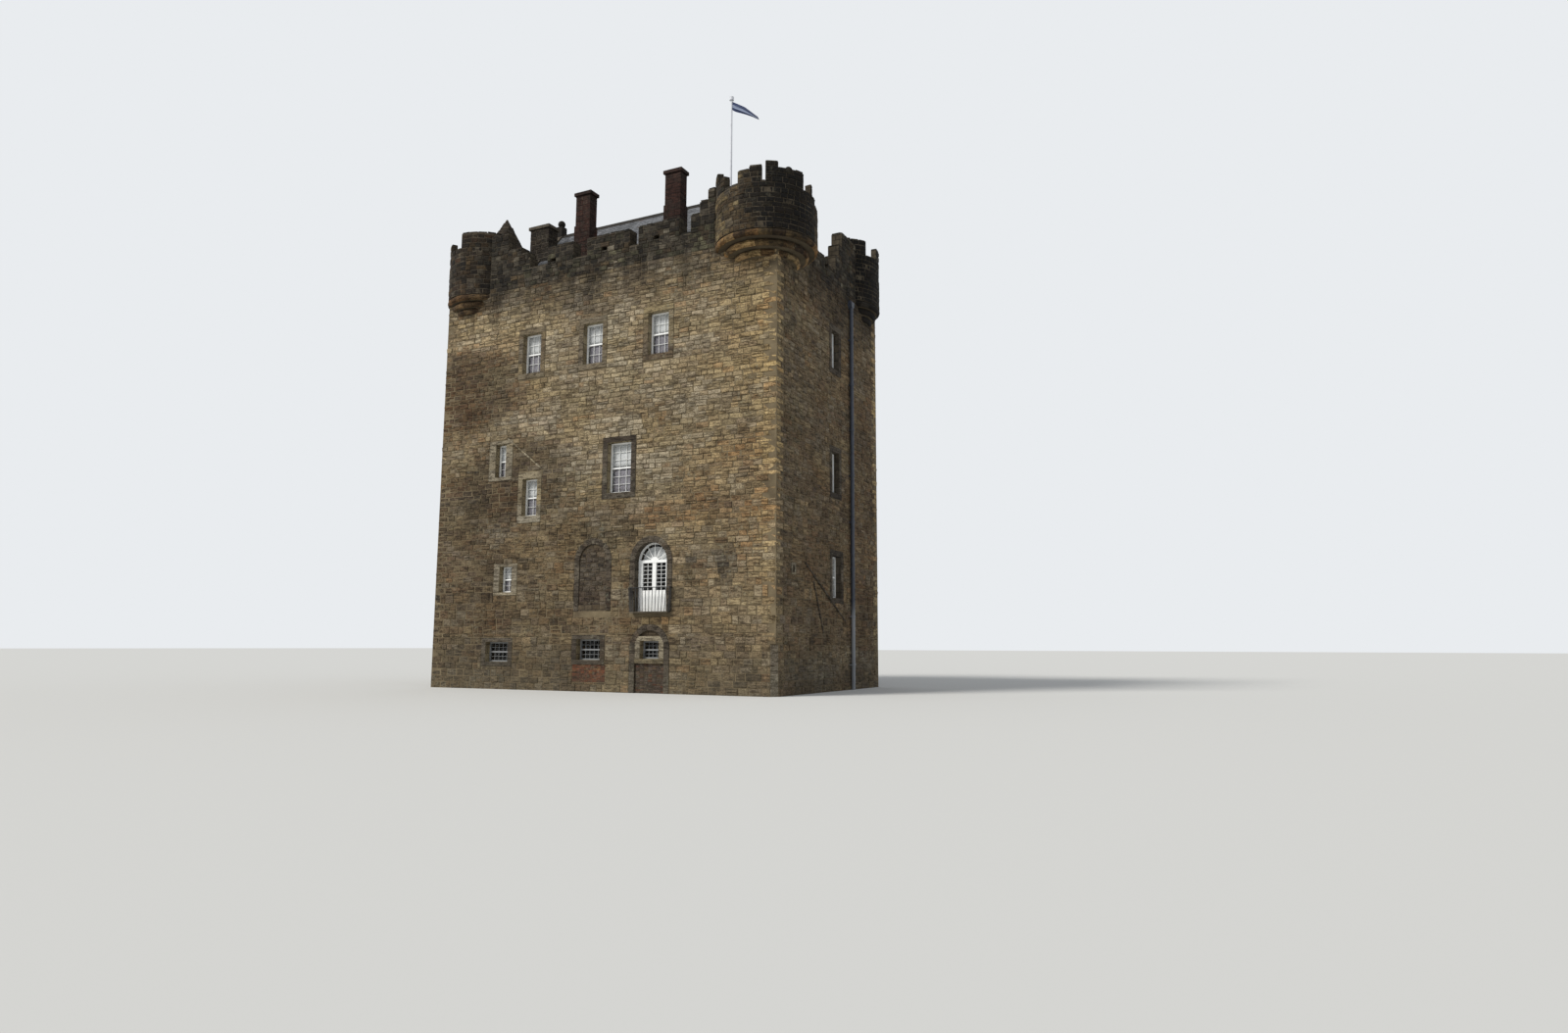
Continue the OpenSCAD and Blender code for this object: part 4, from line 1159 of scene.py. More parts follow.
    def corner_stones(self, side: tuple[int, int], courses: list[Span], lengths: Span, weather: Weather,
                      foot: float) -> None:
        """Lays the long and short corner stones of one edge, each as proud on one face as on the other.

        Args:
            side: Which edge, by the signs of X and Y.
            courses: Foot and top of each course.
            lengths: The two lengths, which change places from course to course.
            weather: How they are coloured.
            foot: Level under which the edge is splayed and has no corner stones.
        """
        corner = Vector((side[0] * HALF_L, side[1] * HALF_D, 0))
        along, inward = Vector((-side[0], 0, 0)), Vector((0, -side[1], 0))
        for index, (low, high) in enumerate(courses):
            low = max(low, foot)
            if high - low < 0.1:
                continue
            first, second = lengths[index % 2], lengths[(index + 1) % 2]
            out = self.rng.uniform(0.012, 0.045)
            z = (low + high) / 2
            middle = corner + along * ((first - out) / 2) + inward * ((second - out) / 2) + Vector((0, 0, z))
            tint = weather.tint(corner.x, z, self.rng)
            long, deep, tall = first + out - 0.014, second + out - 0.014, high - low - 0.022
            if along.cross(inward).z > 0:
                self.stone(middle, along, inward, (long, deep, tall), tint)
            else:
                self.stone(middle, inward, along, (deep, long, tall), tint)
        self.close_course()


# Where the windows are


@dataclass(frozen=True)
class Window:
    """One window on a face: centre, sill, size, margin widths, the panes of each light and its dressed stone.

    A curtained window has a roller blind in the upper sash and a net in the lower one.
    """

    x: float
    sill: float
    w: float
    h: float
    side: float = 0.26
    bed: float = 0.26
    panes: tuple[int, int] = (3, 2)
    curtained: bool = False
    dressing: Weather = PALE_DRESSED

    def hole(self) -> Hole:
        """The space that its margin takes from the rubble."""
        return Hole(self.x, self.sill - self.bed, self.w + 2 * self.side, self.sill + self.h + self.bed)


@dataclass(frozen=True)
class Archway:
    """A round-headed opening or a blocked one: its place, its size and the width of its surround."""

    x: float
    foot: float
    width: float
    spring: float
    face: float = 0.27

    def hole(self) -> Hole:
        """The space that its surround takes from the rubble."""
        top = self.spring + self.width / 2 + self.face
        return Hole(self.x, self.foot, self.width + 2 * self.face, top, self.spring)


@dataclass
class Side:
    """One side of the tower: its face, what is in it, its colours and its parapet.

    "tops" are the parapet's stretches as (start, end, height), "ends" say where it meets the rounds, and
    "shots" are the middle and the foot of its shot holes.
    """

    name: str
    face: Face
    half: float
    weather: Weather
    windows: list[Window]
    ends: Span
    shots: list[Span]
    tops: list[Size]
    slits: list[Window] = field(default_factory=list)
    others: list[Hole] = field(default_factory=list)

    def holes(self) -> list[Hole]:
        """All that the stones leave free."""
        return [window.hole() for window in self.windows + self.slits] + self.others


BALCONY_DOOR = Archway(3.2, FIRST_LEVEL, 1.6, 5.54)
BLOCKED_DOOR = Archway(3.2, 0.0, 1.46, 1.87)
BLOCKED_WINDOW = Archway(0.15, 3.45, 1.46, 5.65)
ENTRANCE = Archway(3.2, 0.0, 1.3, 1.75)
BRICK_PATCH = Hole(0.07, 0.41, 1.76, 1.15)
CELLAR_IN_DOOR = Window(3.2, 1.43, 0.94, 0.74, 0.26, 0.2, (4, 2))
SIDE_WINDOWS = [
    Window(0.37, 14.68, 0.8, 1.82, curtained=True, dressing=GREY_DRESSED),
    Window(0.37, 8.88, 0.8, 1.88, curtained=True, dressing=GREY_DRESSED),
    Window(0.45, 4.12, 0.96, 1.88, panes=(4, 3), dressing=GREY_DRESSED),
]
SIDES = [
    Side("front", FRONT, HALF_L, FRONT_WEATHER_AND_SHADE, [
        Window(-3.74, 14.6, 1.06, 1.9, curtained=True, dressing=TAN_DRESSED),
        Window(-0.2, 14.6, 1.06, 1.9, curtained=True, dressing=TAN_DRESSED),
        Window(3.34, 14.6, 1.06, 1.9, curtained=True, dressing=TAN_DRESSED),
        Window(1.42, 8.6, 1.26, 2.25, panes=(3, 3), curtained=True, dressing=GREY_DRESSED),
        Window(-5.37, 9.78, 0.62, 1.55, 0.40, 0.18, (2, 2), True),
        Window(-3.57, 7.85, 0.86, 1.72, 0.26, 0.32, (2, 2), True),
        Window(-4.81, 4.38, 0.72, 1.18, 0.34, 0.14, (2, 2), True),
        Window(-5.16, 1.23, 1.32, 0.89, 0.26, 0.2, (5, 2), dressing=GREY_DRESSED),
        Window(0.02, 1.35, 1.26, 0.89, 0.26, 0.2, (5, 2), dressing=GREY_DRESSED),
        CELLAR_IN_DOOR,
    ], (-6.52, 6.13), [(-2.67, 19.86), (0.29, 19.86), (3.13, 19.86)], [
        (-6.95, -5.45, 21.8), (-5.45, -4.6, 20.9), (-4.6, -4.2, 20.6), (-4.2, -4.07, 20.3),
        (-4.07, -3.01, 19.8), (-3.01, -1.5, 20.6), (-1.5, -0.7, 19.8), (-0.7, 1.68, 20.6), (1.68, 2.16, 19.8),
        (2.16, 4.34, 20.6), (4.34, 4.91, 19.8), (4.91, 5.36, 20.6), (5.36, 5.77, 21.11), (5.77, 6.6, 21.6),
    ], others=[BALCONY_DOOR.hole(), BLOCKED_DOOR.hole(), BLOCKED_WINDOW.hole(), BRICK_PATCH]),
    Side("right", RIGHT, HALF_D, RIGHT_WEATHER_AND_SHADE, SIDE_WINDOWS, (-2.53, 2.92), [(-0.6, 19.24)], [
        (-3.2, -0.3, 19.7), (-0.3, 0.48, 19.45), (0.48, 0.85, 20.25), (0.85, 1.26, 20.9), (1.26, 3.4, 21.65),
    ], slits=[Window(-3.99, 4.99, 0.14, 0.29, 0.16, 0.1, dressing=PALE_DRESSED)]),
    Side("back", BACK, HALF_L, BACK_WEATHER, [
        Window(-3.54, 14.6, 1.06, 1.9, curtained=True),
        Window(0.0, 14.6, 1.06, 1.9, curtained=True),
        Window(3.54, 14.6, 1.06, 1.9, curtained=True),
        Window(-1.42, 8.6, 1.26, 2.25, panes=(3, 3), curtained=True),
        Window(4.6, 9.78, 0.62, 1.55, 0.40, 0.18, (2, 2), True),
        Window(-4.81, 4.38, 0.72, 1.18, 0.34, 0.14, (2, 2), True),
        Window(-5.16, 1.35, 1.26, 0.89, 0.26, 0.2, (5, 2)),
        Window(0.0, 1.35, 1.26, 0.89, 0.26, 0.2, (5, 2)),
    ], (-6.52, 6.52), [(-3.2, 19.86), (-0.4, 19.86), (2.4, 19.86)], [
        (-6.9, -5.0, 21.05), (-5.0, -4.2, 19.8), (-4.2, -2.2, 20.6), (-2.2, -1.4, 19.8), (-1.4, 0.6, 20.6),
        (0.6, 1.4, 19.8), (1.4, 3.4, 20.6), (3.4, 4.2, 19.8), (4.2, 6.9, 21.05),
    ], others=[ENTRANCE.hole()]),
    Side("left", LEFT, HALF_D, BACK_WEATHER, SIDE_WINDOWS, (-2.92, 2.92), [(0.1, 19.86)], [
        (-3.4, -1.5, 21.05), (-1.5, -0.7, 19.8), (-0.7, 0.9, 20.6), (0.9, 1.7, 19.8), (1.7, 3.4, 21.05)]),
]


@dataclass
class Walls:
    """The four walls and their parapets, laid in one set of courses all round."""

    mason: Mason
    quoins: Span = (0.62, 0.36)
    thickness: float = 0.55
    splay: float = 0.25
    splay_top: float = 2.06
    shot_size: Span = (0.3, 0.21)

    def build(self) -> None:
        """Lays the stones of all four sides."""
        mason = self.mason
        courses: list[Span] = []
        for low, high, step in ((0.0, 2.5, (0.25, 0.36)), (2.5, 4.4, (0.28, 0.4)), (4.4, 9.0, (0.22, 0.29)),
                                (9.0, WALL_HEAD, (0.19, 0.27))):
            courses += mason.heights(low, high, step)
        for side in SIDES:
            # The short sides' corner stones show the other length in each course
            corner = self.quoins if side.half == HALF_L else (self.quoins[1], self.quoins[0])
            mason.lay_face(side.face, (-side.half, side.half), courses, side.holes(), Bed(), side.weather,
                           corner=corner)
            mason.finish(f"{side.name}_wall_stones", "rubble_stone")
            start, end = side.ends
            tops = [(max(a, start), min(b, end), t) for a, b, t in side.tops if b > start and a < end]
            shots = [Hole(x, z, self.shot_size[0], z + self.shot_size[1]) for x, z in side.shots]
            top_courses = mason.heights(WALL_HEAD, 21.85, (0.2, 0.27))
            bed = Bed((0.22, 0.5))
            mason.lay_face(side.face, side.ends, top_courses, shots, bed, PARAPET_WEATHER, tops=tops)
            self.cope(side.face, tops)
            mason.finish(f"{side.name}_parapet_stones", "weathered_stone")
        for sx in (-1, 1):
            for sy in (-1, 1):
                foot = self.splay_top if (sx, sy) == (1, -1) else 0.0
                mason.corner_stones((sx, sy), courses, self.quoins, FRONT_WEATHER_AND_SHADE, foot)
        self.splayed_foot(courses)
        mason.finish("corner_stones", "rubble_stone")

    def splayed_foot(self, courses: list[Span]) -> None:
        """Lays the squared stones of the splay at the foot of the front right corner.

        Args:
            courses: Foot and top of each course.
        """
        half = self.splay / 2
        slant = Face(Vector((HALF_L - half, half - HALF_D, 0)), Vector((-1, 1, 0)).normalized())
        reach = half * math.sqrt(2) - 0.01
        bed = Bed((0.3, 0.6), (0.005, 0.012), 0.01, 0.01, Cut.TOOLED, 0.0)
        for index, (low, high) in enumerate(courses):
            high = min(high, self.splay_top)
            if high - low < 0.06:
                break
            first, second = self.quoins[index % 2], self.quoins[(index + 1) % 2]
            self.mason.row(slant, (-reach, reach), (low, high), bed, BASE_WEATHER)
            self.mason.row(FRONT, (HALF_L - first, HALF_L - self.splay), (low, high), bed, FRONT_WEATHER_AND_SHADE)
            self.mason.row(RIGHT, (self.splay - HALF_D, second - HALF_D), (low, high), bed, RIGHT_WEATHER_AND_SHADE)
        self.mason.close_course()

    def cope(self, face: Face, tops: list[Size]) -> None:
        """Lays rough cope stones on the stretches of a parapet.

        Args:
            face: The parapet's outer face.
            tops: Stretches as (start, end, height).
        """
        rng = self.mason.rng
        for x, end, top in tops:
            while end - x > 0.04:
                length = min(rng.uniform(0.3, 0.6), end - x)
                if end - x - length < 0.15:
                    length = end - x
                high = rng.uniform(0.05, 0.11)
                middle = face.at(x + length / 2, top + high / 2 - 0.02, -self.thickness / 2)
                size = (length - 0.012, self.thickness + rng.uniform(-0.02, 0.03), high)
                self.mason.stone(middle, face.along, face.inward, size, PARAPET_WEATHER.tint(x, top, rng))
                x += length
        self.mason.close_course()


@dataclass
class CornerRound:
    """One open round: its mortar core, its drum stones, its rough cope and its three rolls.

    The rim's stretches are (start angle, end angle, height over the wall head), from the angle at which the
    corner's first side meets the drum. The wall is thinner above the sill of its crenels.
    """

    name: str
    side: tuple[int, int]
    inset: float
    radius: float
    rim: list[Size]
    weather: Weather = ROUND_WEATHER
    roll_weather: Weather = DULL_ROLL_WEATHER
    sill: float = 2.36
    wall: float = 0.45
    merlon: float = 0.3
    roll: float = 0.2895
    parapet: float = 0.55

    def __post_init__(self) -> None:
        """Works out the centre, the rim and the drum's arc in the tower's own frame."""
        self.centre = Vector((self.side[0] * (HALF_L - self.inset), self.side[1] * (HALF_D - self.inset), 0))
        turn = {(-1, -1): 0.0, (1, -1): 90.0, (1, 1): 180.0, (-1, 1): 270.0}[self.side]
        edge = math.degrees(math.asin((self.parapet - self.inset) / self.radius))
        self.arc = (turn + 90.0 - edge, turn + 360.0 + edge)
        self.rim = [(a + turn, b + turn, WALL_HEAD + t) for a, b, t in self.rim]

    def build(self, mason: Mason, inner: Material, mortar: Material) -> None:
        """Lays the drum and the rolls.

        Args:
            mason: Lays the stones.
            inner: The drum's inner face.
            mortar: The bed behind the rolls.
        """
        core = self.core()
        settle(dress(core, inner))
        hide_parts(self.name)
        courses = mason.heights(WALL_HEAD, 22.05, (0.19, 0.26))
        bed = Bed((0.24, 0.5), (0.0, 0.028))
        mason.lay_ring(self.centre, self.radius, self.arc, courses, bed, self.weather, self.rim)
        self.cope(mason)
        mason.finish(f"{self.name}_stones", "weathered_stone")
        self.rolls(mason, mortar)

    def spun(self, middle: Span, size: Span, arc: Span, steps: int, sides: int) -> Object:
        """Spins a section round the drum's middle.

        Args:
            middle: The section's distance from the drum's middle, and its level.
            size: The section's width and height; a roll's height is its width.
            arc: First and last angle in degrees.
            steps: Steps of the spin.
            sides: Sides of the section: 4 for a block, more for a roll.

        Returns:
            The spun piece, round its own middle.
        """
        pick_only()
        # The spin turns clockwise, so it sets out from the last angle
        start, end = math.radians(arc[0]), math.radians(arc[1])
        upright = (math.pi / 2, 0, end)
        spot = Matrix.Rotation(end, 3, "Z") @ Vector((middle[0], 0, middle[1]))
        if sides == 4:
            bpy.ops.mesh.primitive_plane_add(size=1.0, location=spot, rotation=upright)
            bpy.context.object.scale = (size[0], size[1], 1.0)
        else:
            bpy.ops.mesh.primitive_circle_add(vertices=sides, radius=size[0] / 2, fill_type="NGON",
                                              location=spot, rotation=upright)
        piece = bpy.context.object
        apply_place()
        bpy.ops.object.mode_set(mode="EDIT")
        bpy.ops.mesh.select_all(action="SELECT")
        full = arc[1] - arc[0] > 359.9
        bpy.ops.mesh.spin(steps=steps, angle=end - start, center=(0, 0, 0), axis=(0, 0, 1), dupli=False,
                          use_auto_merge=full)
        bpy.ops.mesh.select_all(action="SELECT")
        if full:
            bpy.ops.mesh.remove_doubles(threshold=0.0005)
            bpy.ops.mesh.select_all(action="SELECT")
        bpy.ops.mesh.normals_make_consistent(inside=False)
        bpy.ops.object.mode_set(mode="OBJECT")
        return piece

    def core(self) -> Object:
        """Spins the drum's wall, a little inside its stones, one block for each stretch of the rim.

        Returns:
            The wall.
        """
        outer = self.radius - 0.034
        rise = WALL_HEAD + self.sill
        blocks = []
        for start, end, top in self.rim:
            arc = (max(start, self.arc[0] - 6.0), min(end, self.arc[1] + 6.0))
            for foot, head, thick in ((WALL_HEAD, min(top, rise), self.wall), (rise, top, self.merlon)):
                if head - foot > 0.02:
                    inner = self.radius - thick
                    steps = max(2, round((arc[1] - arc[0]) / 5.0))
                    middle = ((outer + inner) / 2, (foot + head) / 2)
                    blocks.append(self.spun(middle, (outer - inner, head - foot), arc, steps, 4))
        piece = join(f"{self.name}_wall", blocks)
        piece.location = self.centre
        return piece

    def cope(self, mason: Mason) -> None:
        """Lays rough cope stones round the rim.

        Args:
            mason: Lays them.
        """
        for start, end, top in self.rim:
            start, end = max(start, self.arc[0]), min(end, self.arc[1])
            count = max(1, round(math.radians(end - start) * self.radius / 0.45))
            if end <= start:
                continue
            step = (end - start) / count
            thick = self.merlon if top > WALL_HEAD + self.sill + 0.02 else self.wall
            for k in range(count):
                outward = bearing(math.radians(start + (k + 0.5) * step))
                height = mason.rng.uniform(0.05, 0.11)
                deep = thick - mason.rng.uniform(0.02, 0.05)
                reach = self.radius - 0.03 - deep / 2
                spot = self.centre + outward * reach + UP * (top + height / 2 - 0.02)
                size = (math.radians(step) * (self.radius - 0.1) - 0.01, deep, height)
                mason.stone(spot, tangent(outward), -outward, size, PARAPET_WEATHER.tint(0.0, top, mason.rng))
        mason.close_course()

    def rolls(self, mason: Mason, mortar: Material) -> None:
        """Turns the three rolls: a mortared core, and roll stones copied from one turned stone a roll.

        Args:
            mason: Gives the random tints and the stones' finish.
            mortar: The core's finish.
        """
        step = (self.radius - self.inset) / 3
        full = (0.0, 360.0)
        stones, cores = [], []
        for k in range(3):
            radius = self.radius - (2 - k) * step - self.roll / 2 - 0.001
            level = WALL_HEAD - (2.5 - k) * self.roll
            cores.append(self.spun((radius, level), (self.roll - 0.03, 0), full, 40, 8))
            cores.append(self.spun((radius / 2 + 0.1, level), (radius - 0.2, self.roll), full, 40, 4))
            count = max(6, round(2 * math.pi * radius / 0.55))
            sweep = 360.0 / count
            model = self.spun((radius, level), (self.roll, 0), (0.0, sweep * 0.98), 4, 12)
            model.data.attributes.new("tint", "FLOAT_COLOR", "POINT")
            for j in range(count):
                angle = j * sweep + k * 17.0
                tint = self.roll_weather.tint(angle % 360.0, level, mason.rng)
                turn = Matrix.Rotation(math.radians(angle), 4, "Z")
                stones.append(copy_mesh(model, Matrix.Translation(self.centre) @ turn, tint))
            bpy.data.objects.remove(model)
        core = join(f"{self.name}_roll_core", cores)
        core.location = self.centre
        settle(dress(core, mortar))
        piece = dress(join(f"{self.name}_roll_stones", stones), mason.finish_stone)
        bpy.ops.object.shade_smooth_by_angle(angle=math.radians(50))
        settle(piece)
        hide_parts("corbelling")


def build_rounds(mason: Mason, inner: Material, mortar: Material) -> None:
    """Builds the four rounds.

    Args:
        mason: Lays the stones.
        inner: The drums' inner faces.
        mortar: The bed behind the rolls.
    """
    great = CornerRound("front_right_round", (1, -1), 1.07, 2.22, [
        (90, 121, 2.85), (121, 135, 3.0), (135, 154, 2.55), (154, 174, 2.0), (174, 188, 2.55),
        (188, 202, 2.65), (202, 206, 2.0), (206, 220, 2.85), (220, 252, 2.6), (252, 265, 1.87),
        (265, 268, 2.3), (268, 276, 1.84), (276, 360, 1.55)], GREAT_ROUND_WEATHER_LIGHT_AND_SHADE, ROLL_WEATHER_AND_SHADE, 1.55)
    front_left = CornerRound("front_left_round", (-1, -1), 1.25, 1.86, [
        (90, 180, 3.1), (180, 210, 2.36), (210, 239, 2.8), (239, 268, 2.36), (268, 360, 3.1)])
    back_right = CornerRound("back_right_round", (1, 1), 1.25, 1.86, [
        (90, 152, 3.1), (152, 179, 2.36), (179, 227, 2.95), (227, 254, 2.36), (254, 285, 3.1),
        (285, 312, 2.36), (312, 360, 3.1)], REAR_ROUND_WEATHER_AND_SHADE, REAR_ROUND_WEATHER_AND_SHADE)
    back_left = CornerRound("back_left_round", (-1, 1), 1.25, 1.86, [
        (90, 138, 3.1), (138, 165, 2.36), (165, 211, 3.1), (211, 238, 2.36), (238, 285, 3.1),
        (285, 312, 2.36), (312, 360, 3.1)])
    for corner in (great, front_left, back_right, back_left):
        corner.build(mason, inner, mortar)


@dataclass
class Dressings:
    """The dressed blocks round windows and arches, what fills the blocked ones, and the old roof lines."""

    mason: Mason
    block: Span = (0.34, 0.58)
    brick_course: float = 0.075
    infill_depth: float = 0.06
    wedges: int = 11

    def build(self) -> None:
        """Lays all the dressings."""
        for side in SIDES:
            for window in side.windows + side.slits:
                self.margin(side.face, window)
            if side.face is BACK:
                self.arch(BACK, ENTRANCE, PALE_DRESSED, 0.03)
            self.mason.finish(f"{side.name}_margin_blocks", "dressed_stone")
        for archway, out in ((BALCONY_DOOR, 0.03), (BLOCKED_DOOR, 0.03), (BLOCKED_WINDOW, 0.02)):
            self.arch(FRONT, archway, GREY_DRESSED, out)
        self.fill(BLOCKED_WINDOW, BLOCKED_WINDOW.foot, self.infill_depth / 2, None)
        self.fill(BLOCKED_DOOR, 1.3, self.infill_depth, CELLAR_IN_DOOR.hole())
        self.raggle(FRONT, (-4.99, 11.59), (-2.91, 10.01), PALE_DRESSED)
        self.raggle(RIGHT, (-2.93, 5.46), (1.39, 3.09), GREY_DRESSED)
        self.raggle(RIGHT, (-2.09, 4.73), (-1.04, 2.52), GREY_DRESSED)
        self.mason.finish("arch_stones", "dressed_stone")
        self.bricks(FRONT, (-0.81, 0.95), (0.41, 1.15), BRICK_WEATHER)
        self.bricks(FRONT.back(self.infill_depth), (2.48, 3.92), (0.02, 1.22), OLD_BRICK_WEATHER)
        self.mason.finish("brick_patches", "dressed_stone")

    def margin(self, face: Face, window: Window) -> None:
        """Lays the sill, the lintel and the jamb blocks of one window.

        Args:
            face: The wall's face.
            window: The window.
        """
        left, right = window.x - window.w / 2, window.x + window.w / 2
        head = window.sill + window.h
        outer = (left - window.side, right + window.side)
        self.mason.block(face, outer, (window.sill - window.bed, window.sill), 0.036, window.dressing)
        self.mason.block(face, outer, (head, head + window.bed), 0.03, window.dressing)
        for span in ((outer[0], left), (right, outer[1])):
            for course in self.mason.heights(window.sill, head, self.block):
                self.mason.block(face, span, course, 0.03, window.dressing)
        self.mason.close_course()

    def arch(self, face: Face, archway: Archway, weather: Weather, out: float) -> None:
        """Lays the jambs and the wedge stones of a round arch.

        Args:
            face: The wall's face.
            archway: The arch.
            weather: Their colours.
            out: How far they stand proud of the wall.
        """
        mason, half = self.mason, archway.width / 2
        for side in (-1, 1):
            ends = sorted((archway.x + side * half, archway.x + side * (half + archway.face)))
            for course in mason.heights(archway.foot, archway.spring, self.block):
                mason.block(face, (ends[0], ends[1]), course, out, weather)
        wedge = mason.cut_wedge(half, half + archway.face, math.pi / self.wedges)
        place = face.place(archway.x, archway.spring, out - 0.025)
        for k in range(self.wedges):
            turn = Matrix.Rotation(-math.pi * (k + 0.5) / self.wedges, 4, "Y")
            tint = weather.tint(archway.x, archway.spring, mason.rng)
            mason.laid.append(copy_mesh(wedge, place @ turn, tint))
        bpy.data.objects.remove(wedge)
        mason.close_course()

    def fill(self, archway: Archway, foot: float, depth: float, hole: Hole | None) -> None:
        """Fills a blocked arch with rough stones.

        Args:
            archway: The arch.
            foot: Where the filling starts.
            depth: How far it is set back from the wall.
            hole: What stays free in it.
        """
        bed = Bed((0.18, 0.4), (0.0, 0.03))
        for low, high in self.mason.heights(foot, archway.spring + archway.width / 2, (0.16, 0.26)):
            over = max(0.0, high - archway.spring)
            half = math.sqrt(max((archway.width / 2) ** 2 - over * over, 0.0)) - 0.01
            if half < 0.12 or (hole and hole.span(low, high)):
                continue
            span = (archway.x - half, archway.x + half)
            self.mason.row(FRONT.back(depth), span, (low, high), bed, INFILL_WEATHER)
        self.mason.close_course()

    def raggle(self, face: Face, start: Span, end: Span, weather: Weather) -> None:
        """Lays the thin slanting stones that an old lean-to roof was tucked under.

        Args:
            face: The wall's face.
            start: One end on the face.
            end: The other end.
            weather: Their colours.
        """
        run = Vector((end[0] - start[0], end[1] - start[1]))
        count = round(run.length / 0.45)
        along = (face.along * run.x + Vector((0, 0, run.y))).normalized()
        for k in range(count):
            share = (k + 0.5) / count
            spot = face.at(start[0] + run.x * share, start[1] + run.y * share, 0.03)
            self.mason.stone(spot, along, face.inward, (run.length / count - 0.02, 0.06, 0.07),
                             weather.tint(start[0], start[1], self.mason.rng), Cut.TOOLED)
        self.mason.close_course()

    def bricks(self, face: Face, span: Span, height: Span, weather: Weather) -> None:
        """Lays a patch of bricks.

        Args:
            face: The face that they lie on.
            span: The patch's two ends.
            height: Its foot and top.
            weather: Their colours.
        """
        bed = Bed((0.2, 0.235), (0.004, 0.014), 0.01, 0.01, Cut.TOOLED, 0.0)
        count = round((height[1] - height[0]) / self.brick_course)
        step = (height[1] - height[0]) / count
        for k in range(count):
            low = height[0] + k * step
            self.mason.row(face, span, (low, low + step), bed, weather)
        self.mason.close_course()


# Joinery


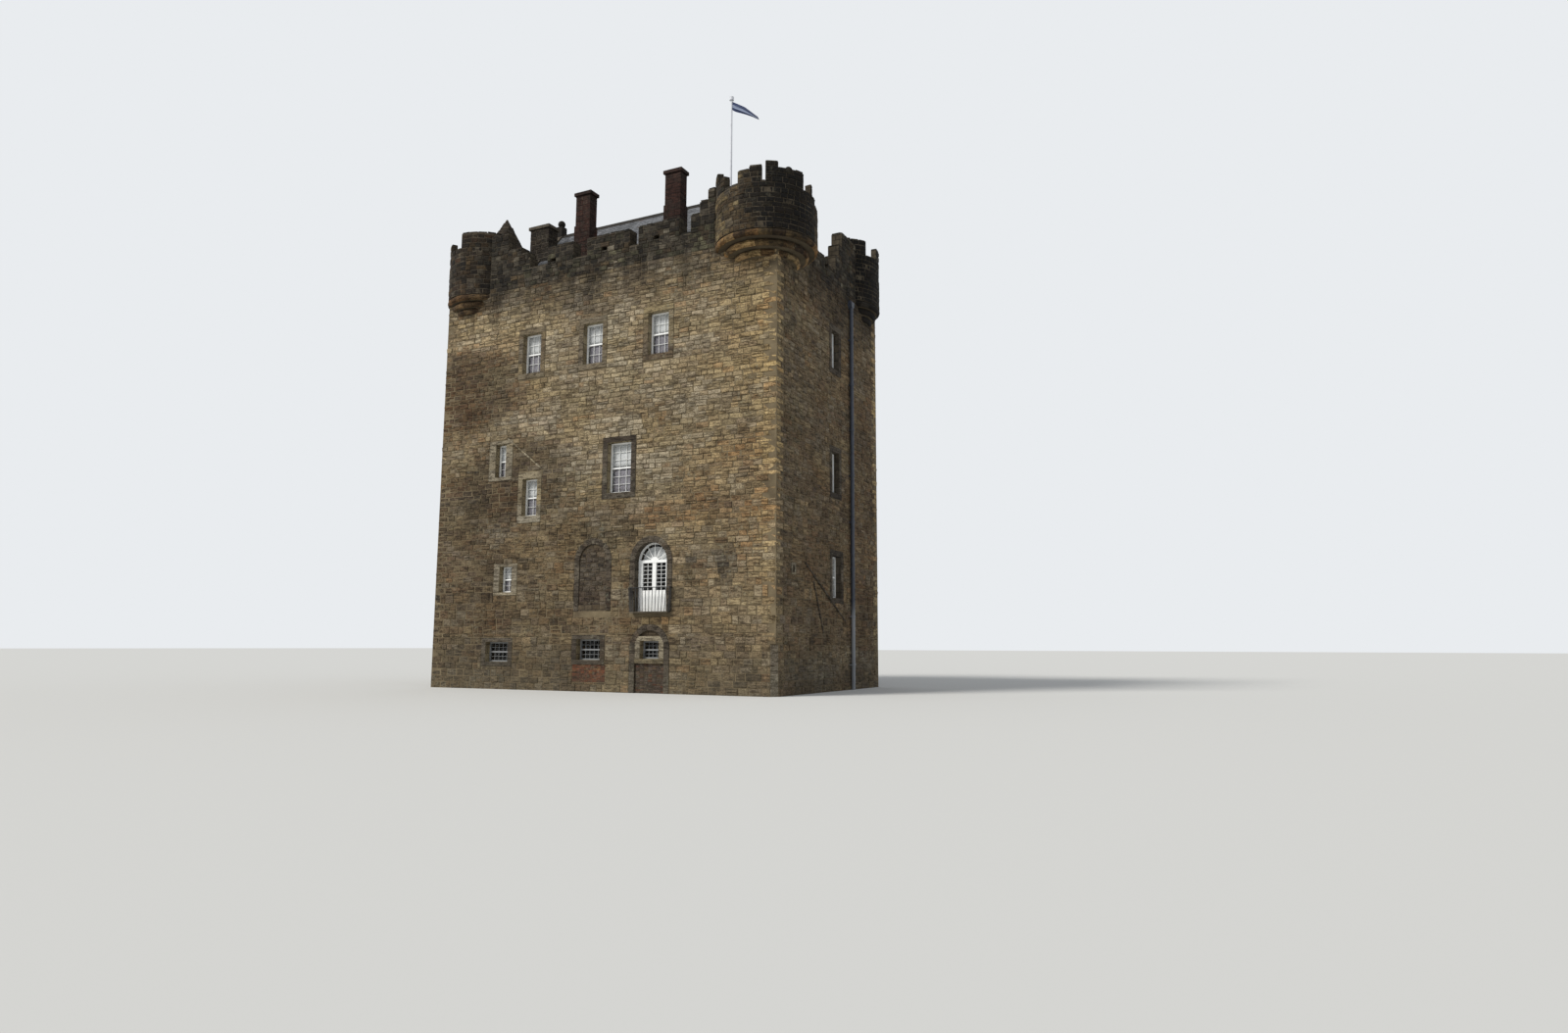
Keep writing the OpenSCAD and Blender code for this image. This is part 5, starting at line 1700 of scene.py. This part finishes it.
@dataclass
class Glazier:
    """Puts in glazing bars, blinds and nets."""

    paint: Material
    rail_paint: Material
    blind: Material
    net: Material
    bar: float = 0.021
    glass_at: float = 0.30
    cloth_at: float = 0.328
    cloth: float = 0.0012
    cellar_to: float = 2.0
    hung: int = 0
    bars: list[Object] = field(default_factory=list)
    rails: list[Object] = field(default_factory=list)

    def build(self) -> None:
        """Shapes the model bar, and glazes every window and the door."""
        self.model = add_block()
        edit_picked(self.model, "polygons", faces_out)
        bpy.ops.transform.resize(value=(0.62, 1.0, 0.96))
        bpy.ops.object.mode_set(mode="OBJECT")
        for side in SIDES:
            for window in side.windows:
                self.glaze(side.face, window)
        self.glaze_door()
        self.fan_blind()
        settle(dress(join("glazing_bars", self.bars), self.paint))
        settle(dress(join("cellar_sill_rails", self.rails), self.rail_paint))
        bpy.data.objects.remove(self.model)

    def put_bar(self, face: Face, centre: Span, length: float, upright: bool, width: float) -> Object:
        """Makes one bar in front of the glass.

        Args:
            face: The wall's face.
            centre: Its middle along the face and up.
            length: Its length.
            upright: Whether it stands upright.
            width: Its width.

        Returns:
            The bar.
        """
        spot = face.at(centre[0], centre[1], 0.014 - self.glass_at)
        along, up = (face.along, UP) if upright else (UP, -face.along)
        axes = turned(along * width, face.inward * 0.028, up * length)
        return copy_mesh(self.model, Matrix.Translation(spot) @ axes)

    def glaze(self, face: Face, window: Window) -> None:
        """Puts in the bars, and the cloth behind the glass, of one window.

        Args:
            face: The wall's face.
            window: The window.
        """
        width = window.w - 2 * SASH_FACE
        height = (window.h - 3 * SASH_FACE) / 2
        columns, rows = window.panes
        for light in (0, 1):
            foot = window.sill + SASH_FACE + light * (height + SASH_FACE)
            for k in range(1, columns):
                x = window.x - width / 2 + width * k / columns
                self.bars.append(self.put_bar(face, (x, foot + height / 2), height, True, self.bar))
            for k in range(1, rows):
                spot = (window.x, foot + height * k / rows)
                self.bars.append(self.put_bar(face, spot, width, False, self.bar))
        if window.sill < self.cellar_to:
            self.rails.append(self.put_bar(face, (window.x, window.sill + SASH_FACE / 2), width, False, 0.06))
        if window.curtained:
            upper = window.sill + window.h - SASH_FACE - 0.005
            lower = window.sill + SASH_FACE + height - 0.005
            self.hang(face, (window.x, upper), (width - 0.02, height * 0.94), False)
            self.hang(face, (window.x + 0.02, lower), (width - 0.08, height * 0.985), True)

    def hang(self, face: Face, top: Span, size: Span, gathered: bool) -> None:
        """Hangs a blind or a net behind the glass.

        Args:
            face: The wall's face.
            top: The middle of its upper edge.
            size: Its hung width and length.
            gathered: Whether it is gathered into soft pleats, as a net is.
        """
        self.hung += 1
        pick_only()
        bpy.ops.mesh.primitive_grid_add(x_subdivisions=48 if gathered else 6, y_subdivisions=6, size=1.0,
                                        location=(0, 0, 0), rotation=(math.pi / 2, 0, 0))
        cloth = bpy.context.object
        cloth.scale = (size[0], size[1], 1.0)
        apply_place()
        if gathered:
            for vertex in cloth.data.vertices:
                fall = 0.5 - vertex.co.z / size[1]
                turn = vertex.co.x / 0.062 * 2 * math.pi + 0.8 * math.sin(vertex.co.x * 9.0)
                vertex.co.y += (0.0055 + 0.0025 * fall) * math.sin(turn)
        area = thicken(cloth, self.cloth)
        bpy.ops.object.shade_smooth()
        cloth.matrix_world = face.place(top[0], top[1] - size[1] / 2, -self.cloth_at)
        cloth.name = f"window_{'net' if gathered else 'blind'}_{self.hung:02d}"
        settle(dress(cloth, self.net if gathered else self.blind))

    def glaze_door(self) -> None:
        """Puts the bars in the two leaves of the balcony door: two panes wide and seven high in each."""
        foot, height, width, panes = 4.31, 1.19, 0.49, 7
        for side in (-1, 1):
            x = BALCONY_DOOR.x + side * 0.3425
            self.bars.append(self.put_bar(FRONT, (x, foot + height / 2), height, True, 0.022))
            for k in range(1, panes):
                self.bars.append(self.put_bar(FRONT, (x, foot + height * k / panes), width, False, 0.02))

    def fan_blind(self) -> None:
        """Stretches the half-round cloth behind the fanlight of the balcony door."""
        radius = BALCONY_DOOR.width / 2 - 0.16
        pick_only()
        bpy.ops.mesh.primitive_circle_add(vertices=48, radius=radius, fill_type="NGON", location=(0, 0, 0),
                                          rotation=(math.pi / 2, 0, 0))
        cloth = bpy.context.object
        apply_place()
        bpy.ops.object.mode_set(mode="EDIT")
        bpy.ops.mesh.select_all(action="SELECT")
        bpy.ops.mesh.bisect(plane_co=(0, 0, 0.02), plane_no=(0, 0, 1), clear_inner=True)
        bpy.ops.object.mode_set(mode="OBJECT")
        area = thicken(cloth, self.cloth)
        cloth.matrix_world = FRONT.place(BALCONY_DOOR.x, BALCONY_DOOR.spring, -0.37)
        cloth.name = "fanlight_blind"
        settle(dress(cloth, self.blind))


@dataclass
class Straps:
    """Strap hinges of wrought iron on the entrance door's planks."""

    size: Size = (0.95, 0.012, 0.07)
    levels: Span = (0.5, 1.62)

    def build(self, iron: Material) -> None:
        """Forges the two straps, each tapering to its tip.

        Args:
            iron: Their finish.
        """
        straps = []
        for level in self.levels:
            strap = add_block(self.size)
            bpy.ops.object.mode_set(mode="EDIT")
            bpy.ops.mesh.subdivide(number_cuts=3)
            edit_picked(strap, "vertices", lambda vertex: vertex.co.x > 0.3)
            bpy.ops.transform.resize(value=(1.0, 1.0, 0.45))
            bpy.ops.object.mode_set(mode="OBJECT")
            strap.matrix_world = BACK.place(ENTRANCE.x - 0.1, level, 0.004 - REVEAL)
            apply_place()
            straps.append(strap)
        settle(dress(join("strap_hinges", straps), iron))


@dataclass
class Flag:
    """The limp flag: a cloth whose upper and lower edges droop from the pole, with folds between them."""

    hoist: Size = (5.843, -3.65, 26.66)
    upper: tuple[Span, ...] = ((0.0, 0.0), (0.64, -0.41), (1.31, -1.05), (1.385, -1.2))
    lower: tuple[Span, ...] = ((0.0, -0.4), (0.26, -0.58), (1.1, -1.04), (1.37, -1.2))
    fold: float = 0.026
    cloth: float = 0.0015

    @staticmethod
    def on_edge(edge: tuple[Span, ...], share: float) -> Vector:
        """A point on a drooping edge.

        Args:
            edge: The edge's corners.
            share: The share of its way from the pole.

        Returns:
            The point.
        """
        place = share * (len(edge) - 1)
        k = min(int(place), len(edge) - 2)
        return Vector(edge[k]).lerp(Vector(edge[k + 1]), place - k)

    def build(self, material: Material) -> None:
        """Drapes the flag.

        Args:
            material: Its finish.
        """
        pick_only()
        bpy.ops.mesh.primitive_grid_add(x_subdivisions=56, y_subdivisions=28, size=1.0, location=(0, 0, 0))
        flag = bpy.context.object
        flag.name = "limp_flag"
        x, y, z = self.hoist
        for vertex in flag.data.vertices:
            along, across = vertex.co.x + 0.5, 0.5 - vertex.co.y
            point = self.on_edge(self.upper, along).lerp(self.on_edge(self.lower, along), across)
            depth = self.fold * min(1.0, along * 5.0) * math.sin(across * 2.4 * 2 * math.pi + along * 3.0)
            sag = -0.012 * math.sin(along * 9.0) * across
            vertex.co = Vector((x + point.x, y + depth, z + point.y + sag))
        area = thicken(flag, self.cloth)
        bpy.ops.object.shade_smooth()
        settle(dress(flag, material))
        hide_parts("flag")


# Roof


@dataclass
class CapHouse:
    """The cap-house and what stands on the walk: gable stones, slates, chimneys, stack and turret."""

    mason: Mason
    half_l: float = 7.1
    half_d: float = 3.5
    eaves: float = 20.0
    ridge: float = 24.05
    gable: float = 0.4
    chimney_at: float = 2.62
    chimney_half: float = 0.47
    base_top: float = 22.45
    stack: Size = (-7.41, -1.85, 4.75)
    stack_size: Span = (1.2, 0.72)
    turret: Span = (-7.45, -3.6)
    turret_radius: float = 0.88
    turret_top: float = WALL_HEAD + 2.85
    cone: float = 1.9
    cone_rows: int = 9
    exposed: float = 0.21
    tilt: float = 0.05

    def build(self, slate: Material) -> None:
        """Lays everything above the wall walk.

        Args:
            slate: The slates' finish.
        """
        mason = self.mason
        self.gables()
        mason.finish("gable_stones", "dressed_stone")
        self.shafts()
        mason.finish("chimney_stones", "red_stone")
        self.stack_and_turret()
        mason.finish("stack_and_turret_stones", "dressed_stone")
        self.slates()
        mason.finish("roof_slates", "roof_slate", slate)

    def gables(self) -> None:
        """Lays the two gables and the two long walls, free of the stack and the chimneys."""
        mason = self.mason
        rise = (self.ridge - self.eaves) / self.half_d
        bed = Bed((0.24, 0.5), (0.003, 0.022))
        for inward in (RIGHT.inward, LEFT.inward):
            face = Face(-inward * self.half_l, inward)
            for low, high in mason.heights(WALK, self.ridge, (0.2, 0.27)):
                half = self.half_d if high < self.eaves else (self.ridge + 0.1 - (low + high) / 2) / rise
                half = min(half, self.half_d)
                spans = [(-half, half)] if inward.x < 0 else [(-half, 1.13), (1.85, half)]
                for start, end in spans:
                    start, end = max(start, -half), min(end, half)
                    if end - start > 0.08:
                        mason.row(face, (start, end), (low, high), bed, GABLE_WEATHER)
                mason.close_course()
        wide, out = 2 * self.chimney_half, self.chimney_at + self.chimney_half
        between = [(-self.half_l, -out), (-out + wide, out - wide), (out, self.half_l)]
        for inward, spans in ((FRONT.inward, between), (BACK.inward, [(-self.half_l, self.half_l)])):
            face = Face(-inward * self.half_d, inward)
            for course in mason.heights(WALK, self.eaves - 0.05, (0.2, 0.27)):
                for span in spans:
                    mason.row(face, span, course, bed, GABLE_WEATHER)
                mason.close_course()

    def shafts(self) -> None:
        """Lays the two chimneys: bases and shafts of squared red-brown blocks."""
        bed = Bed((0.26, 0.48), (0.008, 0.014), 0.012, 0.01, Cut.TOOLED, 0.0)
        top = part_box("chimneys")[1][2] - 0.16
        for x in (-self.chimney_at, self.chimney_at):
            for half, near, far, foot, head in ((0.465, -3.59, -2.99, WALK, self.base_top),
                                                (0.425, -3.55, -3.03, self.base_top, top)):
                self.mason.lay_box((x - half, near, foot), (x + half, far, head), (0.22, 0.3), bed,
                                   SHAFT_WEATHER)

    def stack_and_turret(self) -> None:
        """Lays the squat stack, the round turret and the slabs of its cone."""
        mason = self.mason
        x, y, tall = self.stack
        high = (x + self.stack_size[0], y + self.stack_size[1], WALK + tall)
        bed = Bed((0.24, 0.5), (0.005, 0.025))
        mason.lay_box((x, y, WALK), high, (0.2, 0.28), bed, STACK_WEATHER)
        centre = Vector((self.turret[0], self.turret[1], 0))
        courses = mason.heights(WALK, self.turret_top, (0.2, 0.27))
        bed = Bed((0.24, 0.42), (0.0, 0.02))
        mason.lay_ring(centre, self.turret_radius + 0.03, (0.0, 360.0), courses, bed, STACK_WEATHER,
                       [(0.0, 360.0, self.turret_top)])
        base = self.turret_radius + 0.17
        slope = math.atan2(base, self.cone)
        tall = math.hypot(base, self.cone) / self.cone_rows - 0.006
        for row in range(self.cone_rows):
            share = (row + 0.5) / self.cone_rows
            around = base * (1 - share)
            count = max(6, round(2 * math.pi * around / 0.34))
            wide = 2 * (around + 0.01) * math.tan(math.pi / count) - 0.006
            for k in range(count):
                angle = 2 * math.pi * (k + 0.5 * (row % 2)) / count
                outward = bearing(angle)
                normal = (outward * math.cos(slope) + UP * math.sin(slope)).normalized()
                spot = centre + outward * around + UP * (self.turret_top + self.cone * share) + normal * 0.004
                mason.stone(spot, tangent(outward), -normal, (wide, 0.04, tall),
                            CONE_WEATHER.tint(angle, share, mason.rng), Cut.TOOLED)
            mason.close_course()

    def slates(self) -> None:
        """Hangs the slates, each tilted on the one below."""
        rng = self.mason.rng
        rise = (self.ridge - self.eaves) / self.half_d
        length = math.hypot(self.half_d, self.ridge - self.eaves)
        for side in (-1, 1):
            down = Vector((0, side * 1.0, -rise)).normalized()
            out = Vector((0, side * rise, 1.0)).normalized()
            tilt = (down * math.cos(self.tilt) + out * math.sin(self.tilt)).normalized()
            face_out = (out * math.cos(self.tilt) - down * math.sin(self.tilt)).normalized()
            for row in range(1, int(length / self.exposed) + 1):
                x, end = -self.half_l + self.gable + 0.01, self.half_l - self.gable - 0.01
                depth = min(self.exposed * 1.5, row * self.exposed)
                while end - x > 0.06:
                    width = min(rng.uniform(0.2, 0.34), end - x)
                    if end - x - width < 0.12:
                        width = end - x
                    slip = rng.uniform(-0.008, 0.008)
                    foot = Vector((x + width / 2, 0.0, self.ridge)) + down * (row * self.exposed + slip)
                    centre = foot - tilt * (depth / 2) + out * 0.022
                    if not self.blocked(centre):
                        self.mason.stone(centre, down.cross(out), -face_out, (width - 0.008, 0.012, depth),
                                         SLATE_WEATHER.tint(centre.x, centre.z, rng), Cut.TOOLED)
                    x += width
                self.mason.close_course()

    def blocked(self, spot: Vector) -> bool:
        """Tells whether a chimney, the stack or the stair turret stands where a slate would hang.

        Args:
            spot: The slate's middle.

        Returns:
            True where one of them stands.
        """
        if -7.45 < spot.x < -6.1 and -1.95 < spot.y < -1.05:
            return True
        if math.hypot(spot.x - self.turret[0], spot.y - self.turret[1]) < 0.95:
            return True
        return spot.y < -2.95 and any(abs(spot.x - x) < 0.55 for x in (-self.chimney_at, self.chimney_at))


@dataclass
class Stage:
    """The floor, the light and the camera, which stands where the photograph was taken from."""

    lens: float = 22.41
    spot: Size = (26.697, -39.951, 1.978)
    yaw: float = 0.4637
    pitch: float = 0.1319
    roll: float = 0.0030
    sun_way: Size = (0.42, 0.62, -0.66)
    sun: float = 2.8
    sky: float = 0.62

    def build(self) -> None:
        """Sets the stage."""
        self.camera()
        self.floor()
        self.light()

    def camera(self) -> None:
        """Puts up the camera."""
        level = bearing(self.yaw)
        ahead = tangent(level) * math.cos(self.pitch) + UP * math.sin(self.pitch)
        upright = level.cross(ahead)
        right = level * math.cos(self.roll) + upright * math.sin(self.roll)
        up = upright * math.cos(self.roll) - level * math.sin(self.roll)
        data = bpy.data.cameras.new("camera")
        data.lens = self.lens
        data.sensor_width = 36.0
        data.clip_end = 2000.0
        camera = bpy.data.objects.new("camera", data)
        bpy.context.scene.collection.objects.link(camera)
        camera.matrix_world = Matrix.Translation(Vector(self.spot)) @ turned(right, up, -ahead)
        bpy.context.scene.camera = camera

    def floor(self) -> None:
        """Lays the pale floor."""
        pick_only()
        bpy.ops.mesh.primitive_plane_add(size=900.0, location=(0, 0, 0))
        floor = bpy.context.object
        floor.name = "stage_floor"
        m = new_material("stage_floor")
        seen = add_node(m, "BsdfDiffuse", None, Color=linear("#CFCFCC"))
        add_node(m, "OutputMaterial", None, Surface=seen)
        dress(floor, m)

    def light(self) -> None:
        """Hangs one broad lamp at the front left, under an even sky that looks paler than it shines."""
        world = bpy.data.worlds.new("sky")
        bpy.context.scene.world = world
        world.use_nodes = True
        world.node_tree.nodes.clear()
        soft = add_node(world, "Background", None, Color=linear("#E4E8EE"), Strength=self.sky)
        seen = add_node(world, "Background", None, Color=linear("#E9ECEF"), Strength=1.0)
        ray = add_node(world, "LightPath").outputs
        direct = add_node(world, "Math", LARGER, i0=ray["Is Camera Ray"], i1=ray["Is Glossy Ray"])
        direct = add_node(world, "Math", LARGER, i0=direct, i1=ray["Is Transmission Ray"])
        mixed = add_node(world, "MixShader", None, i0=direct, i1=soft, i2=seen)
        add_node(world, "OutputWorld", None, Surface=mixed)
        data = bpy.data.lights.new("key", "SUN")
        data.energy = self.sun
        data.angle = math.radians(18)
        data.color = (1.0, 0.97, 0.92)
        lamp = bpy.data.objects.new("key", data)
        bpy.context.scene.collection.objects.link(lamp)
        lamp.rotation_euler = Vector(self.sun_way).to_track_quat("-Z", "Y").to_euler()


def dress_frame(mortar: Material, white: Material, iron: Material, black_stone: Material) -> None:
    """Gives every carried-over CAD node its finish.

    Args:
        mortar: The bed behind the laid stones.
        white: White paint.
        iron: Black paint.
        black_stone: Weathered stone of the parapets and rounds.
    """
    stones = {
        "tooled_pale_sandstone": ("#A89C80", "#857A63", (0.5, 0.4), "front_margins back_margins"),
        "tooled_grey_sandstone": ("#6E665A", "#474239", (0.5, 0.4),
                                  "left_gable right_gable cap_house_walls stone_stack stair_turret "
                                  "stair_turret_roof right_margins left_margins balcony_surround "
                                  "balcony_slab"),
        "limewashed_rubble": ("#9A917D", "#746C5B", (0.45, 0.26), "ground_floor first_floor"),
        "riven_paving_flags": ("#8A8170", "#5E574A", (0.8, 0.6), "wall_walk"),
        "sooty_red_sandstone": ("#3E2C25", "#1E1815", (0.45, 0.26), "chimneys"),
        "rough_blocking": ("#6A5E4C", "#443C31", (0.4, 0.22), "blocked_doorway blocked_window"),
        "sooty_ridge_stone": ("#38342F", "#211F1C", (0.6, 0.5), "ridge_capping ball_finials"),
        "slate_bed": ("#4A4C50", "#2E3033", (0.3, 0.2), "slate_roof"),
    }
    finishes = [(PlainStone(name, light, dark, block, name == "riven_paving_flags").material(), nodes)
                for name, (light, dark, block, nodes) in stones.items()]
    finishes += [
        (mortar, "front_wall right_wall back_wall left_wall corbelling"),
        (black_stone, "front_parapet right_parapet back_parapet left_parapet front_right_round "
                      "front_left_round back_right_round back_left_round"),
        (white, "window_sashes balcony_door"),
        (iron, "balcony_railing"),
        (WindowGlass().material(), "window_glass"),
        (SawnBoards("sawn_oak_boards", "#6B5237", "#3C2C1C").material(),
         "second_floor third_floor attic_floor"),
        (SawnBoards("oiled_oak_planks", "#4A3826", "#241A11", (6.0, 6.0, 0.5)).material(), "entrance_door"),
        (GlossPaint("blue_grey_gloss_paint", "#363C48", "#2C2E33", 0.45, "#8F9296").material(),
         "downpipe flag"),
        (GlossPaint("chalky_grey_paint", "#D2D4DA", "#A2A4AA", 0.5).material(), "flagpole"),
    ]
    for material, nodes in finishes:
        for name in nodes.split():
            dress(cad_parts[name], material)


def main() -> None:
    """Builds the pieces in order and dresses the frame."""
    logging.basicConfig(level=logging.INFO, format="%(name)s %(message)s")
    bpy.context.scene.view_settings.view_transform = "Standard"
    Stage().build()
    mortar = LimeMortar().material()
    black_stone = PlainStone("blackened_rubble", "#665D4E", "#37322B", (0.42, 0.24)).material()
    white = GlossPaint("white_gloss_paint", "#F2F3F1", "#D2D2CC", faded="#3E4347", faded_to=2.6).material()
    iron = GlossPaint("black_gloss_paint", "#17181A", "#2C2A27", 0.35).material()
    mason = Mason(SEED, LaidStone().material())
    Walls(mason).build()
    Dressings(mason).build()
    build_rounds(mason, black_stone, mortar)
    CapHouse(mason).build(SplitSlate().material())
    mason.put_away()
    Glazier(white, GlossPaint("chalky_white_paint", "#C9C8C2", "#A09D94").material(),
            WovenCloth("holland_blind_cloth", "#F6F8F8", "#E2E5E4").material(),
            WovenCloth("cotton_net", "#ABA8AE", "#86838B").material()).build()
    Straps().build(iron)
    Flag().build(WovenCloth("wool_bunting", "#141E3C", "#1D3160", "#7F8AA2").material())
    dress_frame(mortar, white, iron, black_stone)
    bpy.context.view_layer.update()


if __name__ == "__main__":
    main()
